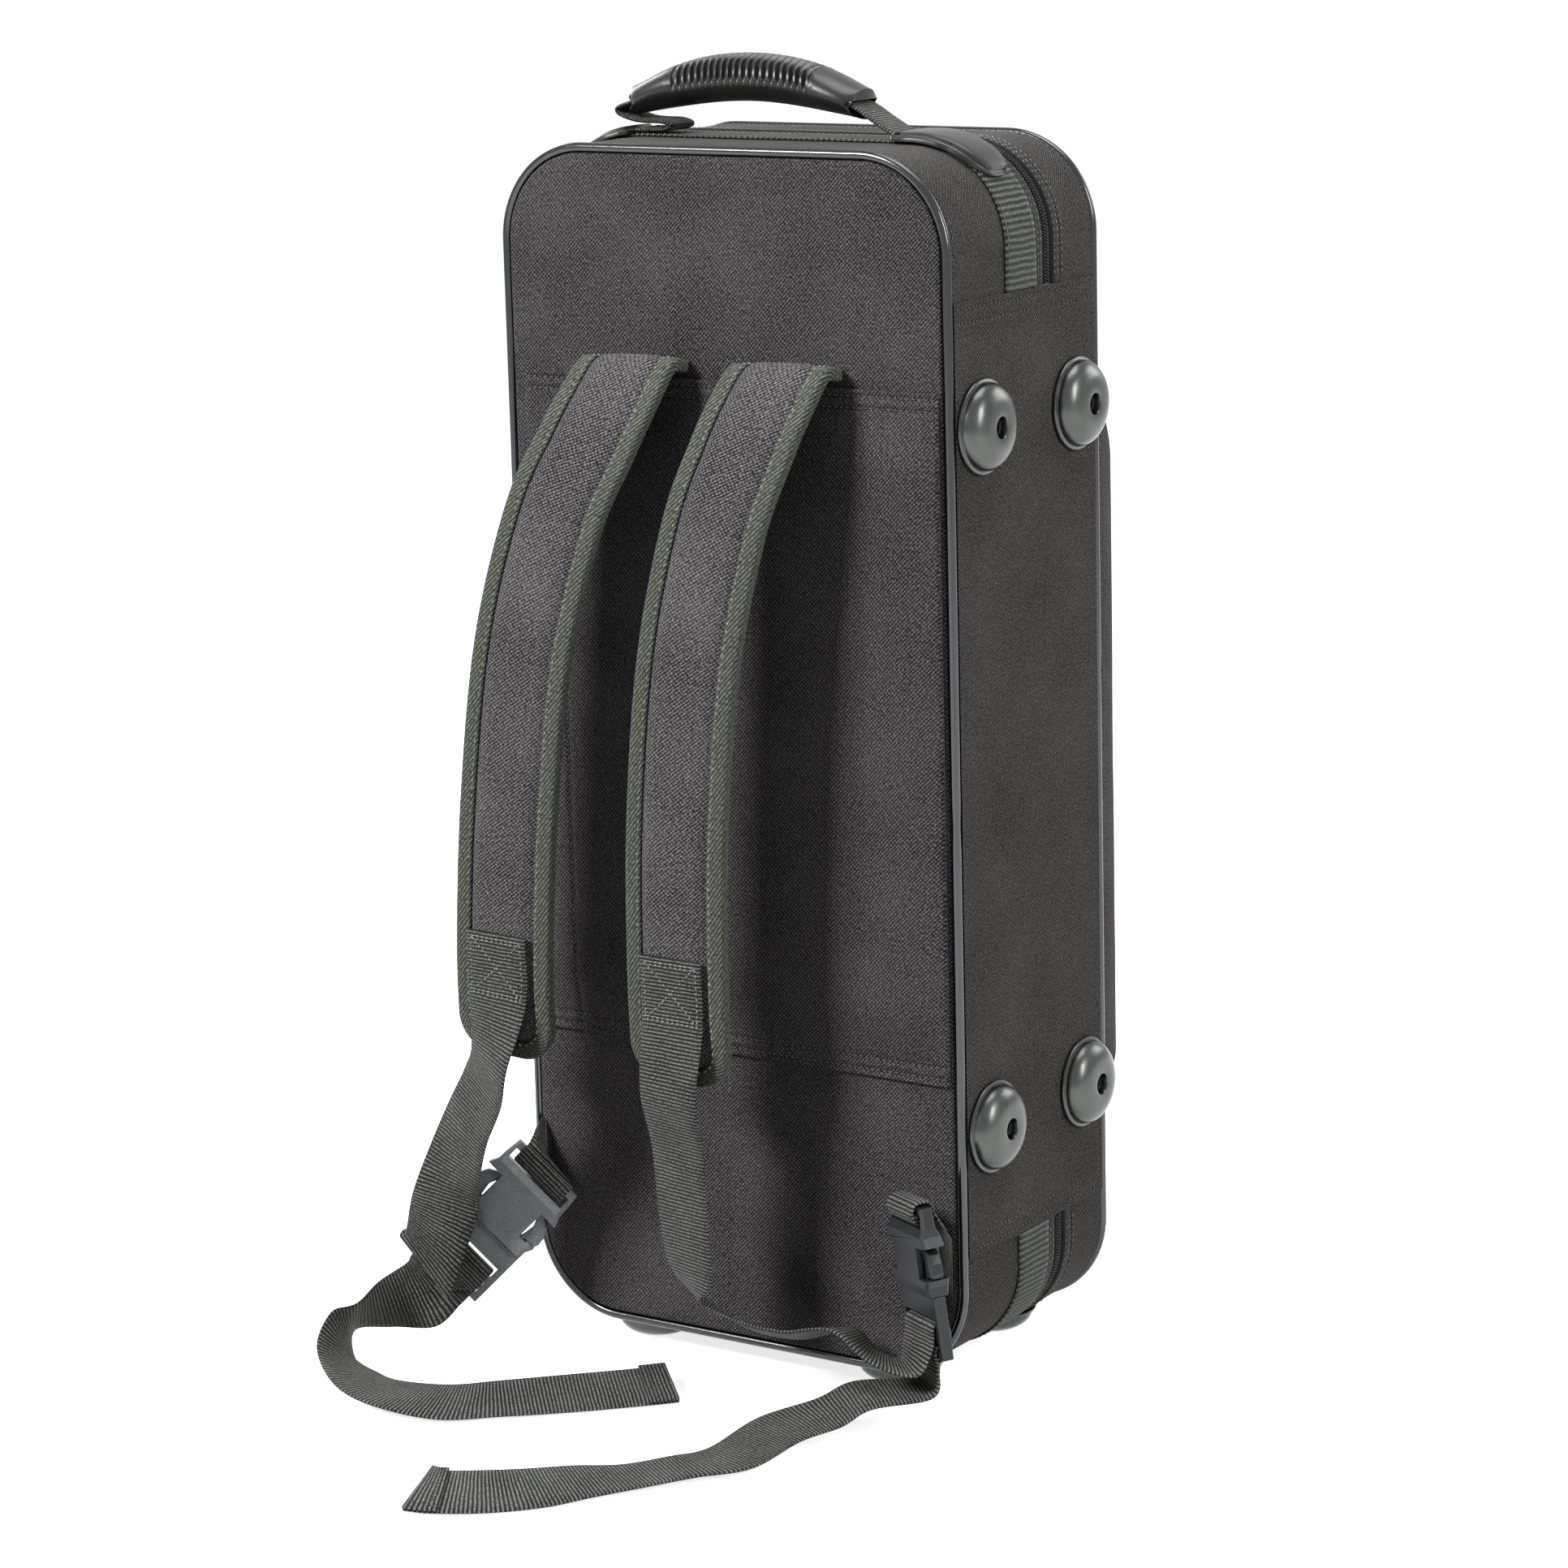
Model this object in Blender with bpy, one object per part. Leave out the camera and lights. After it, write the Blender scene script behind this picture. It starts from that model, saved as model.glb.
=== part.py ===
"""An upright alto saxophone case: a zipped hard case with two carry handles and rucksack straps.

The case stands on one end. Its back, with the straps, faces -Y, its hinge side +X and its pocket +Y.
The origin lies under the middle of the case, on the outer face of its webbing band. All in metres.
"""
import math

import bmesh
import bpy
from mathutils import Matrix, Vector

# Driving dimensions of the case
case_w = 0.275
case_d = 0.150
case_h = 0.640
corner_r = 0.052
lid_depth = 0.0512
gap = 0.0003
corner_steps = 6

# Layers of the wall, from the outside in
trim_t = 0.0012
fabric_t = 0.0012
shell_t = 0.009
split_gap = 0.0004
piping_r = 0.0025
piping_sides = 6

# Webbing band and zip round the three free sides
band_w = 0.031
base_tape_w = 0.0116
lid_tape_w = 0.0118
zip_groove = 0.0004

# Hinge side
panel_foot_gap = 0.069
panel_head_gap = 0.075

# Dome feet
foot_r = 0.0245
foot_h = 0.0117
foot_rim_h = 0.0018
foot_top_r = 0.0085
foot_hole_r = 0.0055
foot_floor_h = 0.003
foot_boss_r = 0.012
foot_edge_clear = 0.0005
foot_split_clear = 0.0012
side_foot_low = 0.135
side_foot_high = 0.139
end_foot_x = 0.078
foot_steps = 16
foot_dome_steps = 4

# Covers, sleeve and pocket
cover_edge_in = 0.0053
cover_fall = 0.0006
cover_round = 0.005
sleeve_left = 0.0135
sleeve_right = 0.0068
sleeve_foot = 0.163
sleeve_head = 0.119
sleeve_hem_t = 0.0016
sleeve_t = 0.0052
sleeve_round = 0.022
sleeve_hem = 0.012
pocket_side = 0.0075
pocket_foot = 0.107
pocket_head = 0.117
pocket_t = 0.035
pocket_wall = 0.0018
pocket_corner_r = 0.026
pocket_round = 0.010
pocket_foot_round = 0.020
pocket_head_round = 0.052
pocket_zip_up = 0.330
pocket_zip_len = 0.200
pocket_slot_h = 0.008
pocket_tape_w = 0.024
pocket_tape_t = 0.0012

# Padding inside
insert_t = 0.074
insert_floor = 0.010
insert_wall = 0.014
well_corner_r = 0.022
well_steps = 4
padding_t = 0.010
padding_crown = 0.003
padding_margin = 0.030

# Handles
grip_len = 0.143
grip_wide = 0.032
grip_tall = 0.025
grip_end_tall = 0.0135
grip_mid_up = 0.0300
grip_end_up = 0.0165
grip_shift = 0.0132
top_handle_run = 0.010
handle_back = 0.002
rib_count = 22
rib_zone = 0.090
rib_deep = 0.0016
bore_wide = 0.0243
bore_tall = 0.0056
bore_drop = 0.001
axis_up = 0.0035
grip_sides = 12
carry_w = 0.0225
carry_t = 0.0022
pad_start = 0.0815
pad_len = 0.060
pad_half_w = 0.021
pad_rim_t = 0.0022
pad_island_t = 0.0042
pad_end_t = 0.0016
pad_seat = 0.0005
side_handle_up = 0.320
side_handle_lean = -12

# Shoulder straps
strap_w = 0.061
strap_t = 0.009
strap_edge_t = 0.003
binding_w = 0.010
binding_t = 0.0012
strap_end_r = 0.020
bend_steps = 5
strap_shoulder = 0.0085
lip_clear = 0.0012
lip_slack = 0.0006
webbing_w = 0.038
webbing_t = 0.0016

# Side-release buckles
buckle_w = 0.051
buckle_t = 0.013
head_t = 0.0075
mouth_lip = 0.005
female_len = 0.046
female_head_w = 0.046
mouth_w = 0.047
socket_w = 0.0395
socket_t = 0.0078
socket_deep = 0.033
slot_w = 0.0395
slot_l = 0.0065
slot_bar = 0.0042
window_low = 0.009
window_l = 0.017
window_in = 0.0150
tongue_w = 0.008
tongue_l = 0.028
male_len = 0.034
male_w = 0.047
male_t = 0.0062
male_shoulder = 0.009
ladder_slot = 0.0065
ladder_bar = 0.0042
arm_root_x = 0.0155
arm_w = 0.0042
arm_reach = 0.030
arm_bulge = 0.0030
buckle_bevel = 0.0012
anchor_w = 0.034
fold_r = 0.0065

# Zip sliders and pulls
slider_w = 0.0100
slider_l = 0.0125
slider_t = 0.0030
bridge_w = 0.0034
bridge_l = 0.0080
bridge_h = 0.0036
bridge_beam = 0.0010
bridge_gate = 0.0017
slider_pitch = 0.038
slider_up = 0.301
pull_w = 0.0072
pull_l = 0.030
pull_t = 0.0014
pull_eye = 0.0053
pull_bar = 0.0009
pocket_slider_end = 0.012

# Worked out from the sizes above
half_w = case_w / 2
back_y = -case_d / 2
front_y = case_d / 2
split_y = front_y - lid_depth
base_end_y = split_y - split_gap / 2
lid_end_y = split_y + split_gap / 2
gusset_in = trim_t + gap
shell_in = gusset_in + fabric_t + gap
inner_in = shell_in + shell_t
gusset_edge = 2 * piping_r + gap
cover_back = fabric_t + cover_fall
shell_face = cover_back + gap
rebate_in = 2 * piping_r + 2 * gap
band_y1 = base_end_y - base_tape_w - gap
band_y0 = band_y1 - band_w
handle_y = (band_y0 + band_y1) / 2 - handle_back
panel_z0 = panel_foot_gap
panel_z1 = case_h - panel_head_gap
floor_z = -(foot_h + gap)
base_foot_y = back_y + 2 * piping_r + foot_r + foot_edge_clear
lid_foot_y = split_y + foot_r + foot_split_clear

# How the webbing threads the ladder, from its middle plane and down from the mouth
outer_slot_z = -male_len + ladder_bar + ladder_slot / 2
inner_slot_z = outer_slot_z + ladder_slot + ladder_bar
middle_bar_z = (outer_slot_z + inner_slot_z) / 2
ladder_near = male_t / 2 + webbing_t / 2 + 2 * gap
ladder_far = ladder_near + webbing_t + 2 * gap
ladder_turn = ladder_bar / 2 - gap

# Colours, with roughness and metallic
finishes = {
    "twill": ((0.045, 0.042, 0.044), 0.85, 0.0),
    "lining": ((0.05, 0.05, 0.055), 0.95, 0.0),
    "binding": ((0.075, 0.08, 0.068), 0.8, 0.0),
    "webbing": ((0.04, 0.043, 0.038), 0.7, 0.0),
    "piping": ((0.008, 0.009, 0.010), 0.25, 0.0),
    "shell": ((0.30, 0.24, 0.17), 0.8, 0.0),
    "moulded": ((0.03, 0.032, 0.033), 0.42, 0.0),
    "rubber": ((0.025, 0.026, 0.027), 0.5, 0.0),
    "zip": ((0.012, 0.012, 0.014), 0.5, 0.0),
    "metal": ((0.08, 0.08, 0.085), 0.35, 0.9),
}


def paint(obj, finish):
    """Gives an object a material of its own in one of the finishes."""
    colour, rough, metal = finishes[finish]
    made = bpy.data.materials.new(obj.name)
    made.use_nodes = True
    shader = made.node_tree.nodes["Principled BSDF"]
    shader.inputs["Base Color"].default_value = (*colour, 1.0)
    shader.inputs["Roughness"].default_value = rough
    shader.inputs["Metallic"].default_value = metal
    made.diffuse_color = (*colour, 1.0)
    obj.data.materials.append(made)


def finish_mesh(name, bm, finish, matrix=None, smooth=35):
    """Turns a bmesh, whose points are local to matrix, into an object."""
    bmesh.ops.recalc_face_normals(bm, faces=bm.faces)
    mesh = bpy.data.meshes.new(name)
    bm.to_mesh(mesh)
    bm.free()
    mesh.shade_smooth()
    mesh.set_sharp_from_angle(angle=math.radians(smooth))
    obj = bpy.data.objects.new(name, mesh)
    bpy.context.scene.collection.objects.link(obj)
    if matrix is not None:
        obj.matrix_world = matrix
    paint(obj, finish)
    return obj


def skin(name, loops, finish, ring=False, matrix=None, smooth=35, twisted=False):
    """Bridges closed loops of points, with capped ends or, as a ring, back to the first loop."""
    bm = bmesh.new()
    rows = [[bm.verts.new(point) for point in loop] for loop in loops]
    pairs = list(zip(rows, rows[1:]))
    if ring:
        pairs.append((rows[-1], rows[0]))
    for first, second in pairs:
        for i in range(len(first)):
            j = (i + 1) % len(first)
            bm.faces.new((first[i], first[j], second[j], second[i]))
    if not ring:
        bm.faces.new(rows[0])
        bm.faces.new(rows[-1])
    if twisted:
        bmesh.ops.triangulate(bm, faces=bm.faces)
    return finish_mesh(name, bm, finish, matrix, smooth)


def turned(name, profile, finish, steps, matrix):
    """Revolves a profile of (radius, height) about local Z; it starts and ends on the axis."""
    bm = bmesh.new()
    rows = []
    for radius, height in profile[1:-1]:
        rows.append([
            bm.verts.new((
                radius * math.cos(2 * math.pi * k / steps),
                radius * math.sin(2 * math.pi * k / steps),
                height,
            ))
            for k in range(steps)
        ])
    first = bm.verts.new((0, 0, profile[0][1]))
    last = bm.verts.new((0, 0, profile[-1][1]))
    for k in range(steps):
        j = (k + 1) % steps
        bm.faces.new((first, rows[0][k], rows[0][j]))
        bm.faces.new((last, rows[-1][k], rows[-1][j]))
        for lower, upper in zip(rows, rows[1:]):
            bm.faces.new((lower[k], lower[j], upper[j], upper[k]))
    return finish_mesh(name, bm, finish, matrix)


def prism(name, points, y0, y1, finish, matrix=None, smooth=35):
    """Extrudes an outline of (x, z) points from y0 to y1."""
    loops = [[Vector((x, y, z)) for x, z in points] for y in (y0, y1)]
    return skin(name, loops, finish, matrix=matrix, smooth=smooth)


def block(x0, x1, z0, z1):
    return [(x0, z0), (x1, z0), (x1, z1), (x0, z1)]


def rounded(points, radius, steps):
    """Rounds every corner of an outline with an arc of about the given radius."""
    out = []
    count = len(points)
    for i in range(count):
        here = Vector(points[i])
        before = (Vector(points[i - 1]) - here).normalized()
        after = (Vector(points[(i + 1) % count]) - here).normalized()
        start = here + before * radius
        end = here + after * radius
        for k in range(steps + 1):
            t = k / steps
            spot = start * (1 - t) ** 2 + here * (2 * t * (1 - t)) + end * t ** 2
            out.append((spot.x, spot.y))
    return out


def bevelled(obj, width):
    made = obj.modifiers.new("edges", "BEVEL")
    made.width = width
    made.segments = 2
    made.limit_method = "ANGLE"
    made.angle_limit = math.radians(40)


def cut(obj, tool):
    """Cuts one object by another, which stays as a hidden wire tool."""
    tool.hide_render = True
    tool.display_type = "WIRE"
    made = obj.modifiers.new("cut", "BOOLEAN")
    made.operation = "DIFFERENCE"
    made.solver = "EXACT"
    made.object = tool


def arc(centre, radius, start, end, steps):
    """Points (x, z) along an arc, its angles in degrees."""
    out = []
    for k in range(steps + 1):
        angle = math.radians(start + (end - start) * k / steps)
        out.append((centre[0] + radius * math.cos(angle), centre[1] + radius * math.sin(angle)))
    return out


def corner(quarter, inset):
    """The arc of one corner of the case, quarters counted from the head of the hinge side."""
    right = quarter in (0, 3)
    high = quarter in (0, 1)
    centre = (
        (half_w - corner_r) * (1 if right else -1),
        case_h - corner_r if high else corner_r,
    )
    return arc(centre, corner_r - inset, 90 * quarter, 90 * quarter + 90, corner_steps)


def outline(inset, y):
    """The closed outline of the case, some way in from its outer edge."""
    points = [p for quarter in range(4) for p in corner(quarter, inset)]
    return [Vector((x, y, z)) for x, z in points]


def free_sides(inset, head_z, foot_z):
    """The open path round the three free sides, from head_z on the hinge side to foot_z."""
    points = [p for quarter in range(4) for p in corner(quarter, inset)]
    edge = half_w - inset
    return [(edge, head_z)] + points + [(edge, foot_z)]


def hoop(name, outer, inner, y0, y1, finish):
    """A closed ring of fabric round the case, between two insets."""
    loops = [outline(outer, y0), outline(outer, y1), outline(inner, y1), outline(inner, y0)]
    return skin(name, loops, finish, ring=True)


def open_hoop(name, outer, inner, y0, y1, head_z, foot_z, finish):
    """A strip round the three free sides that ends beside the hinge panel."""
    loops = []
    for (ox, oz), (ix, iz) in zip(
        free_sides(outer, head_z, foot_z), free_sides(inner, head_z, foot_z)
    ):
        loops.append([(ox, y0, oz), (ox, y1, oz), (ix, y1, iz), (ix, y0, iz)])
    return skin(name, loops, finish)


def piping(name, y):
    """The corded piping round one face of the case."""
    loops = []
    for k in range(piping_sides):
        angle = 2 * math.pi * k / piping_sides
        loops.append(outline(piping_r * (1 - math.cos(angle)), y + piping_r * math.sin(angle)))
    return skin(name, loops, "piping", ring=True, smooth=70)


def tub(name, face_y, end_y, toward):
    """Half of the hard case: a face, a rebate for the piping, and walls up to the split."""
    back = face_y + toward * shell_face
    step = face_y + toward * gusset_edge
    floor = back + toward * shell_t
    loops = [
        outline(rebate_in, back),
        outline(rebate_in, step),
        outline(shell_in, step),
        outline(shell_in, end_y),
        outline(inner_in, end_y),
        outline(inner_in, floor),
    ]
    return skin(name, loops, "shell")


def cover(name, face_y, toward):
    """The padded fabric face inside the piping, with edges that fall away."""
    loops = [
        outline(cover_edge_in, face_y + toward * cover_back),
        outline(cover_edge_in, face_y + toward * cover_fall),
        outline(cover_edge_in + cover_round, face_y),
    ]
    return skin(name, loops, "twill")


def build_base():
    tub("base_shell", back_y, base_end_y, 1)
    cover("back_cover", back_y, 1)
    piping("back_piping", back_y + piping_r)
    hoop("base_gusset", gusset_in, gusset_in + fabric_t, back_y + gusset_edge, band_y1, "twill")
    open_hoop(
        "webbing_band", 0, trim_t, band_y0, band_y1, panel_z1 + gap, panel_z0 - gap, "webbing"
    )
    open_hoop(
        "zip_tape_base", zip_groove, gusset_in + fabric_t, band_y1 + gap, base_end_y,
        panel_z1 + gap, panel_z0 - gap, "zip",
    )
    hinge_panel("hinge_panel_base", back_y + gusset_edge, base_end_y)


def build_lid():
    tub("lid_shell", front_y, lid_end_y, -1)
    cover("front_cover", front_y, -1)
    piping("front_piping", front_y - piping_r)
    tape_end = lid_end_y + lid_tape_w
    hoop(
        "lid_gusset", gusset_in, gusset_in + fabric_t, tape_end + gap, front_y - gusset_edge,
        "twill",
    )
    open_hoop(
        "zip_tape_lid", zip_groove, gusset_in + fabric_t, lid_end_y, tape_end,
        panel_z1 + gap, panel_z0 - gap, "zip",
    )
    hinge_panel("hinge_panel_lid", lid_end_y, front_y - gusset_edge)
    lid_padding()


def hinge_panel(name, y0, y1):
    """One half of the fabric panel over the hinge; its outer face holds the hinge line."""
    return prism(name, block(half_w - trim_t, half_w, panel_z0, panel_z1), y0, y1, "twill")


def lid_padding():
    """The crowned plush pad in the lid."""
    face = front_y - shell_face - shell_t - gap
    edge = face - padding_t
    side = inner_in + gap
    loops = [
        outline(side, face),
        outline(side, edge),
        outline(side + padding_margin / 4, edge - padding_crown * 0.7),
        outline(side + padding_margin, edge - padding_crown),
    ]
    skin("lid_padding", loops, "lining", smooth=60)


def foot(name, place, out, boss):
    """A dome foot with a rim and a screw hole; boss is the height of the spigot behind it."""
    profile = [(0, -boss), (foot_boss_r, -boss), (foot_boss_r, 0)]
    if not boss:
        profile = [(0, 0)]
    profile += [(foot_r, 0), (foot_r, foot_rim_h)]
    dome_r = foot_r - foot_rim_h
    rise = foot_h - foot_rim_h
    for k in range(foot_dome_steps + 1):
        angle = math.pi / 2 * k / foot_dome_steps
        profile.append((
            foot_top_r + (dome_r - foot_top_r) * math.cos(angle),
            foot_rim_h + rise * math.sin(angle),
        ))
    profile += [(foot_hole_r, foot_h), (foot_hole_r, foot_floor_h), (0, foot_floor_h)]
    turn = Vector((0, 0, 1)).rotation_difference(Vector(out)).to_matrix().to_4x4()
    turned(name, profile, "moulded", foot_steps, Matrix.Translation(place) @ turn)


def build_feet():
    for part, y in (("base", base_foot_y), ("lid", lid_foot_y)):
        low = (half_w + gap, y, side_foot_low)
        high = (half_w + gap, y, case_h - side_foot_high)
        foot("side_foot_%s_lower" % part, low, (1, 0, 0), 0)
        foot("side_foot_%s_upper" % part, high, (1, 0, 0), 0)
        for side, sign in (("left", -1), ("right", 1)):
            place = (sign * end_foot_x, y, -gap)
            foot("end_foot_%s_%s" % (part, side), place, (0, 0, -1), trim_t + gap / 2)


def strap_sleeve():
    """The stitched panel that the straps tuck behind, with soft swollen sides and flat hems."""
    x0 = -half_w + sleeve_left
    x1 = half_w - sleeve_right
    z0 = sleeve_foot
    z1 = case_h - sleeve_head
    seat = back_y - gap
    swell_shares = ((0, 0), (0.12, 0.55), (0.45, 0.92), (1, 1))
    across = [x0 + sleeve_round * a for a, _ in swell_shares]
    across += [x1 - sleeve_round * a for a, _ in reversed(swell_shares)]
    lift = [b for _, b in swell_shares] + [b for _, b in reversed(swell_shares)]
    rows = []
    for z, share in ((z0, 0), (z0 + sleeve_hem, 0.25), (z0 + 3 * sleeve_hem, 1),
                     (z1 - 3 * sleeve_hem, 1), (z1 - sleeve_hem, 0.25), (z1, 0)):
        front = [
            Vector((x, seat - sleeve_hem_t - (sleeve_t - sleeve_hem_t) * up * share, z))
            for x, up in zip(across, lift)
        ]
        rows.append([Vector((x0, seat, z))] + front + [Vector((x1, seat, z))])
    skin("strap_sleeve", rows, "twill", smooth=50)


def pocket():
    """The front pocket: a soft box open to the case, with a zipped slot near its head."""
    x0 = -half_w + pocket_side
    z0 = pocket_foot
    z1 = case_h - pocket_head
    seat = front_y + gap

    def frame(side_in, foot_in, head_in, y, radius):
        points = block(x0 + side_in, -x0 - side_in, z0 + foot_in, z1 - head_in)
        return [Vector((x, y, z)) for x, z in rounded(points, radius, 4)]

    # Depth share, then how much of each edge's rounding is still left there
    steps_shares = ((0, 0, 0, 0), (0.45, 0, 0.08, 0.22), (0.75, 0.12, 0.3, 0.5),
                    (0.93, 0.45, 0.65, 0.8), (1, 1, 1, 1))
    outer = [
        frame(pocket_round * s, pocket_foot_round * f, pocket_head_round * h,
              seat + pocket_t * d, pocket_corner_r)
        for d, s, f, h in reversed(steps_shares)
    ]
    wall = pocket_wall
    inner = [
        frame(pocket_round * s + wall, pocket_foot_round * f + wall,
              pocket_head_round * h + wall, seat + (pocket_t - wall) * d, pocket_corner_r)
        for d, s, f, h in steps_shares
    ]
    shell = skin("front_pocket", outer + inner, "twill", smooth=50)
    zip_z = z0 + pocket_zip_up
    face = seat + pocket_t
    half_slot = pocket_slot_h / 2
    slot = prism(
        "pocket_slot_tool",
        block(-pocket_zip_len / 2, pocket_zip_len / 2, zip_z - half_slot, zip_z + half_slot),
        face - 2 * wall, face + wall, "zip",
    )
    cut(shell, slot)
    half_tape = pocket_tape_w / 2
    reach = pocket_zip_len / 2 + half_slot
    prism(
        "pocket_zip", block(-reach, reach, zip_z - half_tape, zip_z + half_tape),
        face + gap, face + gap + pocket_tape_t, "zip",
    )
    return Vector((reach - pocket_slider_end, face + gap + pocket_tape_t + gap, zip_z))


def insert_block():
    """The plush-covered foam block with wells for the horn, the neck and the mouthpiece."""
    floor = back_y + shell_face + shell_t + gap
    head = floor + insert_t
    side = inner_in + gap
    body = skin("fitted_insert", [outline(side, floor), outline(side, head)], "lining")
    reach = half_w - side - insert_wall
    foot_z = side + insert_wall
    head_z = case_h - side - insert_wall
    span = head_z - foot_z
    # Well outlines as shares of the room between the walls of the block
    wells_shares = {
        "horn": ((-1, 0), (1, 0), (1, 1), (0.30, 1), (0.10, 0.55), (-1, 0.50)),
        "neck": ((-1, 0.76), (0.02, 0.82), (0.12, 1), (-1, 1)),
        "mouthpiece": ((-1, 0.58), (-0.05, 0.62), (-0.02, 0.74), (-1, 0.69)),
    }
    for name, shares in wells_shares.items():
        points = [(a * reach, foot_z + b * span) for a, b in shares]
        tool = prism(
            name + "_well_tool", rounded(points, well_corner_r, well_steps),
            floor + insert_floor, head + insert_floor, "lining",
        )
        cut(body, tool)


def smooth_route(points, steps):
    """Points along a Catmull-Rom curve through vectors."""
    ends = [points[0] * 2 - points[1]] + list(points) + [points[-1] * 2 - points[-2]]
    out = []
    for i in range(1, len(ends) - 2):
        a, b, c, d = ends[i - 1:i + 3]
        for k in range(steps):
            t = k / steps
            out.append(
                b + (c - a) * (0.5 * t)
                + (a * 2 - b * 5 + c * 4 - d) * (0.5 * t * t)
                + (b * 3 - c * 3 + d - a) * (0.5 * t ** 3)
            )
    out.append(points[-1].copy())
    return out


def in_case(shares):
    """A place given as shares of the case's width, depth and height, from the origin."""
    return Vector((shares[0] * case_w, shares[1] * case_d, shares[2] * case_h))


def frames_along(route, acrosses):
    """For each point of a route: place, across, along and normal, all square to each other."""
    out = []
    for i, place in enumerate(route):
        ahead = route[min(i + 1, len(route) - 1)] - route[max(i - 1, 0)]
        along = ahead.normalized()
        across = acrosses[i] - along * acrosses[i].dot(along)
        across.normalize()
        out.append((place, across, along, across.cross(along)))
    return out


def ribbon(name, frames, width, thick, finish, matrix=None):
    """A flat strap with a square section, swept through frames."""
    loops = []
    for place, across, _, normal in frames:
        side = across * (width / 2)
        up = normal * (thick / 2)
        loops.append([place - side - up, place + side - up, place + side + up, place - side + up])
    return skin(name, loops, finish, matrix=matrix, smooth=60)


def pairs_about(points, widths):
    """The two edges of a strap at each point of its middle line."""
    pairs = []
    for place, across, _, _ in frames_along(points, widths):
        side = across * (webbing_w / 2)
        pairs.append((place - side, place + side))
    return pairs


def strap_between(name, pairs, steps):
    """A flat strap between two edges given as pairs of points, smoothed along its length."""
    first = smooth_route([pair[0] for pair in pairs], steps)
    second = smooth_route([pair[1] for pair in pairs], steps)
    loops = []
    for i, (a, b) in enumerate(zip(first, second)):
        ahead = min(i + 1, len(first) - 1)
        behind = max(i - 1, 0)
        along = (first[ahead] + second[ahead] - first[behind] - second[behind]).normalized()
        up = (b - a).cross(along).normalized() * (webbing_t / 2)
        loops.append([a - up, b - up, b + up, a + up])
    skin(name, loops, "webbing", smooth=60, twisted=True)


# The straps' middle lines as shares of the case's width, depth and height, from the sleeve down
pad_routes_shares = {
    "left": ((-0.178, -0.5130, 0.8236), (-0.179, -0.590, 0.8246), (-0.190, -0.672, 0.8010),
             (-0.220, -0.742, 0.7640), (-0.272, -0.815, 0.7050), (-0.330, -0.875, 0.5980),
             (-0.368, -0.900, 0.4650), (-0.392, -0.897, 0.3400), (-0.404, -0.868, 0.2520)),
    "right": ((0.163, -0.5130, 0.8236), (0.162, -0.590, 0.8246), (0.150, -0.672, 0.8010),
              (0.126, -0.742, 0.7640), (0.090, -0.815, 0.7050), (0.048, -0.875, 0.5980),
              (0.022, -0.900, 0.4650), (0.012, -0.897, 0.3400), (0.006, -0.868, 0.2520)),
}
pad_across = Vector((1, 0, 0.02))
pad_route_steps = 2

# Where each strap's webbing runs from the pad towards its buckle, and which way its width lies
webbing_routes_shares = {
    "left": ((-0.394, -0.9405, 0.3600), (-0.398, -0.937, 0.3060), (-0.412, -0.965, 0.2550),
             (-0.4410, -0.9389, 0.2253), (-0.4858, -0.9360, 0.1893), (-0.5235, -0.9379, 0.1487),
             (-0.5451, -0.9429, 0.1169)),
    "right": ((0.010, -0.9375, 0.3600), (0.009, -0.931, 0.3060), (0.004, -0.960, 0.2450),
              (0.002, -0.903, 0.1950), (0.004, -0.887, 0.1350), (0.012, -0.870, 0.0900),
              (0.0182, -0.8400, 0.0664), (0.1000, -0.8000, 0.0477), (0.1945, -0.7533, 0.0422),
              (0.2909, -0.7000, 0.0500)),
}
webbing_acrosses = {
    "left": ((1, 0, 0), (1, 0, 0), (34, -14, 6), (35, -12, 6), (37, -9, 0), (38, -1, -1),
             (32, 11, -18)),
    "right": ((1, 0, 0), (1, 0, 0), (38, -4, -3), (38, -6, -4), (36, -8, -6), (34, -10, -13),
              (26, -24, 0), (10, -28, 14), (8, -28, 13), (12, -28, 10)),
}
strap_steps = 2

# Edges of the flat crease that the left webbing is turned over before it meets the ladder
crease_edges_shares = {
    "left": (((-0.6168, -1.0079, 0.0940), (-0.5289, -0.9588, 0.0428)),
             ((-0.6318, -1.0105, 0.0891), (-0.5439, -0.9613, 0.0379)),
             ((-0.6266, -0.9808, 0.0923), (-0.5388, -0.9317, 0.0411))),
    "right": (),
}

# Edges of the right webbing's last turn before the ladder: across and in front as shares of the
# fold's radius, and below the ladder's foot
fold_edges_shares = {
    "left": (),
    "right": (((-5.1, 2.6, 0.3), (-0.2, 5.1, -0.15)), ((-3.0, 1.54, 0.7), (2.7, 2.6, 0.9))),
}
tail_drop_share = 2.7
tail_lift_share = 0.3
bar_wrap_share = 0.78

# Tails, their height as a share of the case's height above the floor
tail_routes_shares = {
    "left": ((-0.6513, -1.0653, 0.0481), (-0.6900, -1.1496, 0.0403), (-0.6880, -1.2317, 0.0285),
             (-0.6392, -1.3284, 0.0170), (-0.5329, -1.4270, 0.0100), (-0.3804, -1.4105, 0.0082),
             (-0.2824, -1.2714, 0.0082), (-0.1895, -1.1187, 0.0082), (-0.0989, -0.9586, 0.0082),
             (-0.0464, -0.8567, 0.0082)),
    "right": ((0.3836, -0.8400, 0.0300), (0.3440, -0.9450, 0.0200),
              (0.2805, -1.0792, 0.0110), (0.2665, -1.3390, 0.0060), (0.2086, -1.4750, 0.0045),
              (0.1555, -1.6213, 0.0042), (0.0988, -1.7556, 0.0058), (0.0474, -1.9009, 0.0074),
              (-0.0154, -2.0162, 0.0084), (-0.0913, -2.0995, 0.0084), (-0.1309, -2.1155, 0.0084)),
}
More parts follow.
